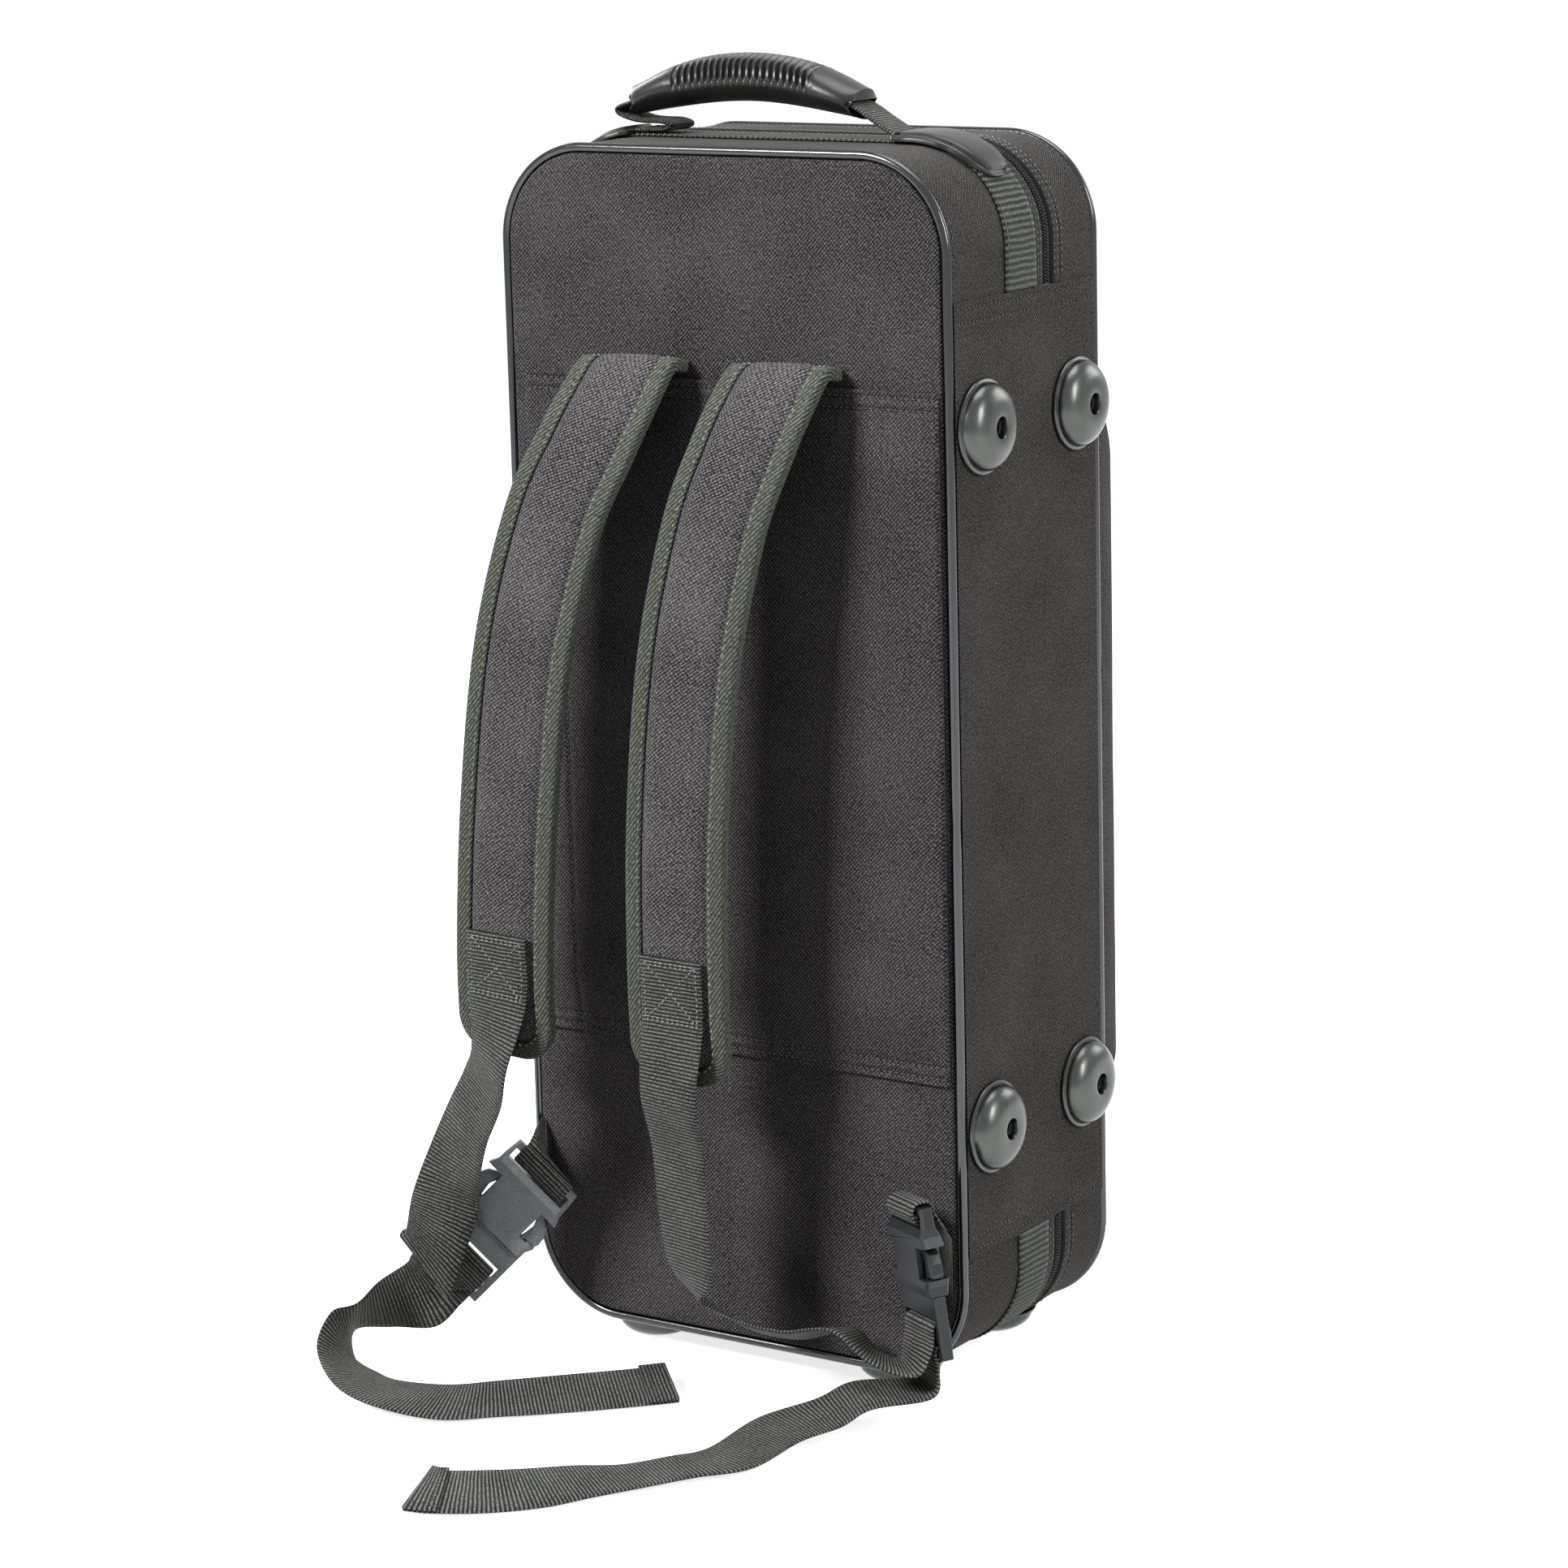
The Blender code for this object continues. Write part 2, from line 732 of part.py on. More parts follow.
tail_acrosses = {
    "left": ((-9, -30, 22), (9, -36, 11), (13, -36, 5), (14, -35, 5), (18, -33, 1), (21, -32, -5),
             (20, -31, -6), (20, -31, -7), (20, -31, -7), (20, -31, -7)),
    "right": ((-27, 27, 2), (-25, 28, 4), (-24, 29, 4), (-22, 31, 1), (-21, 32, -2),
              (-21, 32, -2), (-21, 32, 2), (-21, 31, 6), (-20, 31, 8), (-20, 31, 8),
              (-20, 31, 8)),
}


def strap_pad(side):
    """A padded shoulder strap and the bound edge round its two sides and its rounded end."""
    route = smooth_route([in_case(s) for s in pad_routes_shares[side]], pad_route_steps)
    frames = frames_along(route, [pad_across] * len(route))
    runs = [0.0]
    for a, b in zip(route, route[1:]):
        runs.append(runs[-1] + (b - a).length)
    total = runs[-1]

    def at(run):
        for i in range(len(runs) - 1):
            if run <= runs[i + 1] or i == len(runs) - 2:
                t = (run - runs[i]) / (runs[i + 1] - runs[i])
                place = frames[i][0].lerp(frames[i + 1][0], t)
                vectors = [frames[i][k].lerp(frames[i + 1][k], t).normalized() for k in (1, 2, 3)]
                return (place, *vectors)
        return frames[-1]

    def half_width(run, inset):
        left = max(0.0, strap_end_r - (total - run))
        flat = strap_w / 2 - strap_end_r
        return flat + math.sqrt(max((strap_end_r - inset) ** 2 - left ** 2, 0))

    def edge_distance(x, run):
        from_end = total - run
        if from_end >= strap_end_r:
            return strap_w / 2 - abs(x)
        inner = strap_w / 2 - strap_end_r
        if abs(x) <= inner:
            return from_end
        return strap_end_r - math.hypot(abs(x) - inner, strap_end_r - from_end)

    def half_thick(x, run):
        past = (edge_distance(x, run) - binding_w - lip_clear) / strap_shoulder
        share = min(max(past, 0.0), 1.0)
        return (strap_edge_t + (strap_t - strap_edge_t) * math.sin(share * math.pi / 2)) / 2

    inset = binding_t + gap
    side_stops = [r for r in runs if r < total - strap_end_r - binding_w / 2]
    stops = side_stops + [total - strap_end_r]
    for drop in (binding_w + lip_clear + strap_shoulder * 0.4, binding_w + lip_clear,
                 binding_w * 0.6, binding_w * 0.3, inset):
        stops.append(total - drop)
    full = strap_w / 2 - inset
    lip_x = strap_w / 2 - binding_w - lip_clear
    spots = (-full, -lip_x, -lip_x + strap_shoulder, 0)
    spots += tuple(-x for x in reversed(spots[:-1]))
    loops = []
    for run in stops:
        place, across, _, normal = at(run)
        reach = half_width(run, inset)
        top = []
        under = []
        for spot in spots:
            x = spot * reach / full
            thick = half_thick(x, run)
            top.append(place + across * x + normal * thick)
            under.append(place + across * x - normal * thick)
        loops.append(top + under[::-1])
    skin("shoulder_pad_" + side, loops, "twill", smooth=60)

    spots = [((-strap_w / 2, run), (1, 0)) for run in side_stops]
    flat = strap_w / 2 - strap_end_r
    for k in range(bend_steps + 1):
        angle = math.pi / 2 * k / bend_steps
        spots.append((
            (-flat - strap_end_r * math.cos(angle), total - strap_end_r * (1 - math.sin(angle))),
            (math.cos(angle), -math.sin(angle)),
        ))
    spots += [((-x, run), (-u, w)) for (x, run), (u, w) in reversed(spots)]
    lip = (strap_edge_t / 2 + lip_slack + binding_t, strap_edge_t / 2 + lip_slack)
    section = (
        (0, lip[0]), (binding_w, lip[0]), (binding_w, lip[1]), (binding_t, lip[1]),
        (binding_t, -lip[1]), (binding_w, -lip[1]), (binding_w, -lip[0]), (0, -lip[0]),
    )
    loops = []
    for (x, run), (toward_x, toward_run) in spots:
        loop = []
        for deep, up in section:
            place, across, _, normal = at(min(run + toward_run * deep, total))
            loop.append(place + across * (x + toward_x * deep) + normal * up)
        loops.append(loop)
    skin("strap_binding_" + side, loops, "binding", smooth=50)


def threaded(matrix, spots):
    """Places and widths in the ladder from (in front, height) pairs in the buckle's middle plane."""
    places = [matrix @ Vector((0, -ahead, z)) for ahead, z in spots]
    return places, [matrix.to_3x3() @ Vector((1, 0, 0))] * len(places)


def strap_webbing(side, matrix):
    """The webbing from the pad's crossed box down into the buckle's inner slot."""
    points = [in_case(s) for s in webbing_routes_shares[side]]
    widths = [Vector(a).normalized() for a in webbing_acrosses[side]]
    pairs = pairs_about(points, widths)
    for edges in fold_edges_shares[side]:
        pairs.append([
            matrix @ Vector((sideways * fold_r, -ahead * fold_r, -male_len - below * fold_r))
            for sideways, ahead, below in edges
        ])
    for first, second in crease_edges_shares[side]:
        pairs.append((in_case(first), in_case(second)))
    wrap = ladder_near * bar_wrap_share
    pairs += pairs_about(*threaded(matrix, (
        (ladder_far, outer_slot_z - ladder_turn), (ladder_near, middle_bar_z),
        (ladder_near, middle_bar_z + ladder_turn), (wrap, inner_slot_z - gap),
        (gap / 2, inner_slot_z + gap),
    )))
    strap_between("strap_webbing_" + side, pairs, strap_steps)


def strap_tail(side, matrix):
    """The rest of the webbing: over the ladder's middle bar, out and along the floor."""
    wrap = ladder_near * bar_wrap_share
    points, widths = threaded(matrix, (
        (-gap / 2, inner_slot_z + gap), (-wrap, inner_slot_z - gap),
        (-ladder_near, middle_bar_z + ladder_turn), (-ladder_near, middle_bar_z - ladder_turn),
        (-wrap, outer_slot_z + 2 * gap), (0, outer_slot_z),
        (wrap, outer_slot_z - 2 * gap), (ladder_near, ladder_bar - male_len - gap),
        (ladder_near, -male_len), (ladder_near, -male_len - fold_r),
        (ladder_near + fold_r * tail_lift_share, -male_len - fold_r * tail_drop_share),
    ))
    widths = [-width for width in widths]
    for x, y, up in tail_routes_shares[side]:
        points.append(Vector((x * case_w, y * case_d, floor_z + up * case_h)))
    widths += [Vector(a).normalized() for a in tail_acrosses[side]]
    strap_between("strap_tail_" + side, pairs_about(points, widths), strap_steps)


# Each buckle's mouth as shares of the case, then its direction to the ladder and its width's
buckle_places = {
    "left": ((-0.5073, -0.7793, 0.0886), (-0.550, -0.483, -0.681), (0.696, 0.290, -0.654)),
    "right": ((0.458, -0.660, 0.0945), (0.139, 0.0, -0.990), (0.805, -0.576, 0.113)),
}


def buckle_frame(side):
    """A matrix at the buckle's mouth: X along its width, Z from the ladder to the housing."""
    mouth, down, width = buckle_places[side]
    z_axis = -Vector(down).normalized()
    x_axis = Vector(width)
    x_axis -= z_axis * x_axis.dot(z_axis)
    x_axis.normalize()
    y_axis = z_axis.cross(x_axis)
    turn = Matrix((x_axis, y_axis, z_axis)).transposed().to_4x4()
    return Matrix.Translation(in_case(mouth)) @ turn


def buckle_female(side, matrix):
    """The housing: a slot for the fixed webbing, a socket and two side windows."""
    top = female_len
    neck = female_len - slot_bar - slot_l - slot_bar
    sizes = (
        (0, mouth_w, buckle_t * 0.86), (mouth_lip, mouth_w, buckle_t),
        (window_low, buckle_w, buckle_t), (window_low + window_l, buckle_w, buckle_t),
        (neck, female_head_w, buckle_t * 0.9), (neck + slot_bar, female_head_w, head_t),
        (top, female_head_w - slot_bar / 2, head_t * 0.9),
    )
    loops = []
    for z, wide, thick in sizes:
        x = wide / 2
        y = thick / 2
        cx = x - buckle_bevel * 1.6
        cy = y - buckle_bevel
        loops.append([
            Vector(p) for p in (
                (-cx, -y, z), (cx, -y, z), (x, -cy, z), (x, cy, z),
                (cx, y, z), (-cx, y, z), (-x, cy, z), (-x, -cy, z),
            )
        ])
    body = skin("buckle_female_" + side, loops, "moulded", matrix=matrix, smooth=30)
    over = buckle_t
    tools = [
        ("socket", block(-socket_w / 2, socket_w / 2, -over, socket_deep), socket_t),
        ("slot", block(-slot_w / 2, slot_w / 2, top - slot_bar - slot_l, top - slot_bar), 2 * over),
    ]
    for name, points, deep in tools:
        tool = prism("buckle_%s_tool_%s" % (name, side), points, -deep / 2, deep / 2, "zip", matrix)
        cut(body, tool)
    for hand in (-1, 1):
        window = [
            (hand * window_in, window_low), (hand * buckle_w, window_low),
            (hand * buckle_w, window_low + window_l), (hand * window_in, window_low + window_l),
        ]
        name = "buckle_window_tool_%s_%s" % (side, "left" if hand < 0 else "right")
        cut(body, prism(name, window, -over, over, "zip", matrix))


def buckle_male(side, matrix):
    """The ladder frame and the middle tongue that guides it into the socket."""
    shoulder = -gap
    foot_z = -male_len
    half = male_w / 2
    points = [
        (-tongue_w / 2, shoulder), (-tongue_w / 2, tongue_l), (tongue_w / 2, tongue_l),
        (tongue_w / 2, shoulder), (mouth_w / 2, shoulder), (half, shoulder - male_shoulder / 2),
        (half, foot_z), (-half, foot_z), (-half, shoulder - male_shoulder / 2),
        (-mouth_w / 2, shoulder),
    ]
    body = prism("buckle_male_" + side, points, -male_t / 2, male_t / 2, "moulded", matrix)
    bevelled(body, buckle_bevel / 2)
    first = foot_z + ladder_bar
    second = first + ladder_slot + ladder_bar
    for name, low in (("outer", first), ("inner", second)):
        points = block(-slot_w / 2, slot_w / 2, low, low + ladder_slot)
        tool_name = "ladder_%s_tool_%s" % (name, side)
        cut(body, prism(tool_name, points, -2 * male_t, 2 * male_t, "zip", matrix))


def arm_outline():
    """One spring arm of the male half, from its root up to the barb in the window."""
    inner = arm_root_x - arm_w / 2
    outer = arm_root_x + arm_w / 2
    barb = buckle_w / 2 + arm_bulge * 0.15
    low = window_low + 2 * gap
    high = window_low + window_l - 2 * gap
    return [
        (inner, 2 * gap), (outer, 2 * gap), (outer + gap, low * 0.7), (outer + 2 * gap, low),
        (barb - arm_bulge * 0.4, low), (barb, low + arm_bulge),
        (barb - arm_bulge * 0.2, (low + high) / 2), (barb - arm_bulge, high - arm_bulge),
        (outer, high), (arm_root_x, arm_reach), (inner, arm_reach), (inner, high),
        (arm_root_x + arm_w * 0.3, (low + high) / 2), (arm_root_x, low),
    ]


def buckle_arms(side, matrix):
    """The two living-spring arms; each turns about its root."""
    for hand, sign in (("left", -1), ("right", 1)):
        root = Matrix.Translation((sign * arm_root_x, 0, 0))
        points = [(sign * x - sign * arm_root_x, z) for x, z in arm_outline()]
        prism(
            "buckle_arm_%s_%s" % (side, hand), points, -male_t / 2, male_t / 2, "moulded",
            matrix @ root,
        )


# Edges of the anchor webbing from the case's seam to the buckle, as shares of the case
anchor_edges_shares = {
    "left": (((-0.4730, -0.509, 0.1720), (-0.4730, -0.509, 0.1160)),
             ((-0.4690, -0.560, 0.1670), (-0.4360, -0.540, 0.1165))),
    "right": (((0.4730, -0.509, 0.0700), (0.4730, -0.509, 0.1280)),
              ((0.4091, -0.5455, 0.1468), (0.5090, -0.6766, 0.1528))),
}


def anchor_webbing(side, matrix):
    """The short loop from the case's seam round the housing's bar."""
    bar_z = female_len - slot_bar / 2
    slot_z = female_len - slot_bar - slot_l / 2
    off = head_t / 2 + webbing_t / 2 + 4 * gap
    over = female_len + webbing_t / 2 + 2 * gap
    bar_low = female_len - slot_bar
    down = [(off, bar_low), (off * 0.7, slot_z + gap), (0, slot_z - 2 * gap)]
    down += [(-y, z) for y, z in reversed(down[:-1])]
    if side == "left":
        loop = [(off, over)] + down + [(-off, over - webbing_t), (-off * 0.5, over)]
    else:
        loop = [(off, bar_low), (off, bar_z), (off * 0.72, over), (0, over + webbing_t / 2)]
        loop += [(-off * 0.72, over), (-off, bar_z)] + down[::-1][:3]
    half = Vector((anchor_w / 2, 0, 0))
    edges = []
    for first, second in anchor_edges_shares[side]:
        edges.append((in_case(first), in_case(second)))
    for y, z in loop:
        spot = Vector((0, y, z))
        edges.append((matrix @ (spot - half), matrix @ (spot + half)))
    strap_between("anchor_webbing_" + side, edges, strap_steps)


def build_straps():
    strap_sleeve()
    for side in ("left", "right"):
        strap_pad(side)
        matrix = buckle_frame(side)
        strap_webbing(side, matrix)
        strap_tail(side, matrix)
        buckle_female(side, matrix)
        buckle_male(side, matrix)
        buckle_arms(side, matrix)
        anchor_webbing(side, matrix)


def rim_point(run, inset=0.0):
    """A point on the case's outline, a run along it from the head's middle, and its normal."""
    flat = half_w - corner_r
    turn = corner_r * math.pi / 2
    sign = -1 if run > 0 else 1
    far = abs(run)
    if far <= flat:
        return Vector((sign * far, 0, case_h - inset)), Vector((0, 0, 1))
    if far <= flat + turn:
        angle = (far - flat) / corner_r
        normal = Vector((sign * math.sin(angle), 0, math.cos(angle)))
        centre = Vector((sign * flat, 0, case_h - corner_r))
        return centre + normal * (corner_r - inset), normal
    drop = far - flat - turn
    return (
        Vector((sign * (half_w - inset), 0, case_h - corner_r - drop)), Vector((sign, 0, 0)),
    )


def handle_pad(name, run, step):
    """A moulded end pad: a rim, a groove and a raised island, narrowing to a rounded tip."""
    # Share of the length, half width as a share, thickness as a share of the island's
    taper_shares = ((0, 0.80, 0.75), (0.06, 0.93, 1), (0.20, 1, 1), (0.34, 0.99, 1),
                    (0.47, 0.96, 1), (0.60, 0.88, 1), (0.72, 0.76, 1), (0.83, 0.60, 0.95),
                    (0.93, 0.38, 0.8), (0.985, 0.16, 0.45))
    face_shares = ((-1, 0.35), (-0.93, 0.62), (-0.84, 0.62), (-0.79, 0.42), (-0.70, 1),
                   (0.70, 1), (0.79, 0.42), (0.84, 0.62), (0.93, 0.62), (1, 0.35))
    loops = []
    for far, wide, thick in taper_shares:
        place, normal = rim_point(run + step * far * pad_len)
        tall = pad_end_t + (pad_island_t - pad_end_t) * thick
        across = Vector((0, pad_half_w * wide, 0))
        seat = place + normal * pad_seat + Vector((0, handle_y, 0))
        loop = [seat + normal * (tall * up) + across * share for share, up in face_shares]
        loop += [seat + across, seat - across]
        loops.append(loop)
    skin(name, loops, "moulded", smooth=50)


def grip_middle(x):
    """Height of the middle of the grip above the case, along its arch."""
    share = 1 - (2 * x / grip_len) ** 2
    return grip_end_up + (grip_mid_up - grip_end_up) * share


def grip(name, matrix):
    """The moulded grip: an arched sleeve with flared ends, crescent ribs and a webbing tunnel."""
    half = grip_len / 2

    def sizes(x):
        far = abs(x) / half
        tall = grip_end_tall + (grip_tall - grip_end_tall) * (1 - far ** 3)
        flare = 0.92 + 0.08 * math.cos(math.pi * min(far / 0.72, 1)) ** 2
        if far > 0.72:
            flare = 1 - 0.16 * ((far - 0.72) / 0.28) ** 2
        return grip_wide / 2 * flare, tall / 2

    pitch = rib_zone / rib_count
    stations = [-half, -half * 0.97, -half * 0.88, -half * 0.76]
    for k in range(rib_count):
        start = -rib_zone / 2 + k * pitch
        stations += [start, start + pitch / 2]
    stations += [half * 0.76, half * 0.88, half * 0.97, half]
    loops = []
    for i, x in enumerate(stations):
        wide, tall = sizes(x)
        in_ribs = 4 <= i < len(stations) - 4
        low = in_ribs and i % 2 == 0
        loop = []
        for k in range(grip_sides):
            angle = 2 * math.pi * (k + 0.5) / grip_sides
            across = math.cos(angle)
            up = math.sin(angle)
            notch = rib_deep * max(up + 0.15, 0) if low else 0
            lean = pitch * 0.5 * across * across if in_ribs else 0
            loop.append(Vector((
                x + lean, (wide - notch) * across, grip_middle(x) - axis_up + (tall - notch) * up,
            )))
        loops.append(loop)
    inner = []
    for x in (half, half * 0.75, half * 0.45, half * 0.15, -half * 0.15, -half * 0.45,
              -half * 0.75, -half):
        loop = []
        for k in range(grip_sides):
            angle = 2 * math.pi * (k + 0.5) / grip_sides
            across = max(min(1.35 * math.cos(angle), 1), -1)
            up = max(min(1.35 * math.sin(angle), 1), -1)
            loop.append(Vector((
                x, bore_wide / 2 * across,
                grip_middle(x) - axis_up - bore_drop + bore_tall / 2 * up,
            )))
        inner.append(loop)
    skin(name, loops + inner, "rubber", ring=True, matrix=matrix, smooth=40)


# Webbing outside the grip: run from the handle's middle as a share of the pads' distance,
# height as a share of the grip's, and how much of the lean it takes
slack_end_shares = ((-0.986, 0.060, 0), (-0.870, 0.066, 0), (-0.760, 0.080, 0),
                    (-0.705, 0.150, 0.1), (-0.780, 0.215, 0.2), (-0.900, 0.222, 0.3),
                    (-1.000, 0.245, 0.45), (-1.115, 0.340, 0.85), (-1.125, 0.440, 1))
taut_end_shares = ((0.845, 0.300, 0.7), (0.986, 0.092, 0))
bore_shares = (-0.97, -0.8, -0.6, -0.4, -0.2, 0, 0.2, 0.4, 0.6, 0.8, 0.97)


def handle(name, run, step, lean, ends):
    """A carry handle: two pads, the webbing between them and the grip on its swing axis."""
    handle_pad("%s_pad_%s" % (name, ends[0]), run + step * pad_start, step)
    handle_pad("%s_pad_%s" % (name, ends[1]), run - step * pad_start, -step)
    place, normal = rim_point(run)
    centre = place + Vector((0, handle_y, 0)) + normal * axis_up
    along = place - rim_point(run + step * corner_r / corner_steps)[0]
    along.normalize()
    side = normal.cross(along)
    turn = Matrix((along, side, normal)).transposed().to_4x4()
    base = Matrix.Translation(centre) @ turn
    spots = [(far * pad_start, up * grip_mid_up, swing) for far, up, swing in slack_end_shares]
    for share in bore_shares:
        x = share * grip_len / 2
        spots.append((x - grip_shift, grip_middle(x) - bore_drop, 1))
    spots += [(far * pad_start, up * grip_mid_up, swing) for far, up, swing in taut_end_shares]
    swung = base @ Matrix.Rotation(math.radians(lean), 4, "X")
    grip(name + "_grip", swung @ Matrix.Translation((-grip_shift, 0, 0)))
    route = []
    acrosses = []
    for x, up, swing in spots:
        turned_by = base @ Matrix.Rotation(math.radians(lean * swing), 4, "X")
        route.append(turned_by @ Vector((x, 0, up - axis_up)))
        acrosses.append(turned_by.to_3x3() @ Vector((0, 1, 0)))
    frames = frames_along(smooth_route(route, 2), smooth_route(acrosses, 2))
    ribbon(name + "_webbing", frames, carry_w, carry_t, "webbing")


def facing(place, outward, nose):
    """A matrix at a place whose -Y looks outward and whose Z runs along the zip."""
    y_axis = -Vector(outward)
    z_axis = Vector(nose)
    x_axis = y_axis.cross(z_axis)
    turn = Matrix((x_axis, y_axis, z_axis)).transposed().to_4x4()
    return Matrix.Translation(place) @ turn


def zip_slider(name, matrix):
    """A slider: a plate over the teeth with the arched bridge that carries the pull."""
    half = slider_w / 2
    nose = slider_l / 2
    points = [
        (-half * 0.7, -nose), (half * 0.7, -nose), (half, 0), (half * 0.8, nose),
        (-half * 0.8, nose), (-half, 0),
    ]
    loops = [[Vector((x, 0, z)) for x, z in points]]
    loops.append([Vector((x * 0.9, -slider_t, z * 0.95)) for x, z in points])
    body = skin(name, loops, "metal", matrix=matrix)
    bridge = prism(
        name + "_bridge_tool", block(-bridge_w / 2, bridge_w / 2, -bridge_l / 2, bridge_l / 2),
        -slider_t - bridge_h, -slider_t / 2, "metal", matrix,
    )
    bridge.hide_render = True
    bridge.display_type = "WIRE"
    joined = body.modifiers.new("bridge", "BOOLEAN")
    joined.operation = "UNION"
    joined.solver = "EXACT"
    joined.object = bridge
    gate = prism(
        name + "_gate_tool", block(-slider_w, slider_w, -bridge_gate, bridge_gate),
        -slider_t - bridge_h + bridge_beam, -slider_t, "metal", matrix,
    )
    cut(body, gate)


def zip_pull(name, matrix):
    """A pull whose bar lies in the bridge along local X; it hangs along -Z."""
    half = pull_w / 2
    points = [
        (-half * 0.8, pull_bar), (half * 0.8, pull_bar), (half, -pull_l * 0.3),
        (half * 0.86, -pull_l), (-half * 0.86, -pull_l), (-half, -pull_l * 0.3),
    ]
    body = prism(name, points, -pull_t / 2, pull_t / 2, "metal", matrix)
    eye = bridge_w / 2 + 2 * gap
    hole = prism(
        name + "_eye_tool", block(-eye, eye, -pull_eye, -pull_bar), -pull_l, pull_l, "metal",
        matrix,
    )
    cut(body, hole)


def slider_and_pull(slider, pull, matrix):
    """A slider with its pull; the pull's origin is the bar in the bridge."""
    zip_slider(slider, matrix)
    bar_y = -slider_t - (bridge_h - bridge_beam) / 2
    zip_pull(pull, matrix @ Matrix.Translation((0, bar_y, 0)))


def build_sliders(pocket_spot):
    """The two sliders of the main zip and the pocket's, with their pulls."""
    side_x = -(half_w - zip_groove + gap)
    for name, z in (("upper", slider_up + slider_pitch), ("lower", slider_up)):
        matrix = facing((side_x, split_y, z), (-1, 0, 0), (0, 0, 1))
        slider_and_pull("zip_slider_" + name, "zip_pull_" + name, matrix)
    slider_and_pull("pocket_slider", "pocket_pull", facing(pocket_spot, (0, 1, 0), (1, 0, 0)))


def build_handles():
    handle("top_handle", top_handle_run, 1, 0, ("left", "right"))
    flat = half_w - corner_r
    side_run = flat + corner_r * math.pi / 2 + (case_h - corner_r - side_handle_up)
    handle("side_handle", side_run, -1, side_handle_lean, ("upper", "lower"))


def main():
    for obj in list(bpy.data.objects):
        bpy.data.objects.remove(obj, do_unlink=True)
    build_base()
    build_lid()
    build_feet()
    insert_block()
    build_straps()
    build_handles()
    build_sliders(pocket())


main()
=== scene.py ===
"""The looks of the alto saxophone case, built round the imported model, in metres."""

import math

import bmesh
import bpy
from mathutils import Matrix, Vector, noise


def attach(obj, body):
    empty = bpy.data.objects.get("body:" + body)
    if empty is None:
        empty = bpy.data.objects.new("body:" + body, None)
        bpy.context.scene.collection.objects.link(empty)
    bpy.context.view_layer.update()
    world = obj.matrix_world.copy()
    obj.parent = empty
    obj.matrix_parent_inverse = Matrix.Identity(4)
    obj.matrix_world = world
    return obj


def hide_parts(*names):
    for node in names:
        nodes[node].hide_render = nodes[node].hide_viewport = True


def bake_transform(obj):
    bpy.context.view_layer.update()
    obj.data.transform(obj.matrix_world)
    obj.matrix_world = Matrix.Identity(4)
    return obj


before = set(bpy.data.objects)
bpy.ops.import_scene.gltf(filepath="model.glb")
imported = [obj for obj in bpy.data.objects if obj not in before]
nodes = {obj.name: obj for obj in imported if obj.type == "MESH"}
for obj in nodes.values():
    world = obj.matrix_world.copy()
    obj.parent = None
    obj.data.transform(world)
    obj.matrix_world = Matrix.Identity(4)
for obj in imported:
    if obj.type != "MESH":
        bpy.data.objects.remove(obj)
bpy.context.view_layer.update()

# Sizes that the source has too
case_w, case_d, case_h = 0.275, 0.150, 0.640
half_w, back_y, front_y = case_w / 2, -case_d / 2, case_d / 2
corner_r, split_y, gap = 0.052, 0.0238, 0.0003
band_y0, band_y1, tape_y1 = -0.0193, 0.0117, 0.0358
panel_z0, panel_z1 = 0.069, 0.565
floor_z = -0.012
strap_w, strap_t, strap_edge_t = 0.061, 0.009, 0.003
binding_w, binding_t, strap_end_r = 0.010, 0.0012, 0.020
webbing_w, webbing_t = 0.038, 0.0016
male_len, male_t, female_len = 0.034, 0.0062, 0.046
ladder_slot, ladder_bar, fold_r = 0.0065, 0.0042, 0.0065
outer_slot_z = -male_len + ladder_bar + ladder_slot / 2
inner_slot_z = outer_slot_z + ladder_slot + ladder_bar
middle_bar_z = (outer_slot_z + inner_slot_z) / 2
ladder_near = male_t / 2 + webbing_t / 2 + 2 * gap
ladder_far = ladder_near + webbing_t + 2 * gap
ladder_turn = ladder_bar / 2 - gap
grip_len, grip_wide, grip_tall, grip_end_tall = 0.143, 0.032, 0.025, 0.0135
grip_mid_up, grip_end_up, grip_shift = 0.0300, 0.0165, 0.0132
bore_wide, bore_tall, bore_drop, axis_up = 0.0243, 0.0056, 0.001, 0.0035
rib_count, rib_zone, rib_deep = 22, 0.090, 0.0019
carry_w, carry_t, pad_start, pad_len = 0.0225, 0.0022, 0.0815, 0.060
pad_half_w, pad_island_t, pad_end_t, pad_seat = 0.021, 0.0042, 0.0016, 0.0005
handle_y = -0.0058


# ---------------------------------------------------------------- nodes and materials

def put(tree, socket, value):
    """Sets a socket to a number or colour, or links another node's output to it."""
    if isinstance(value, bpy.types.NodeSocket):
        tree.links.new(value, socket)
    elif hasattr(value, "__len__"):
        socket.default_value = (*value, 1)
    else:
        socket.default_value = value


def maths(tree, operation, *values):
    node = tree.nodes.new("ShaderNodeMath")
    node.operation = operation
    for socket, value in zip(node.inputs, values):
        put(tree, socket, value)
    return node.outputs[0]


def mixed(tree, share, a, b):
    node = tree.nodes.new("ShaderNodeMix")
    node.data_type = "RGBA"
    for index, value in ((0, share), (6, a), (7, b)):
        put(tree, node.inputs[index], value)
    return node.outputs[2]


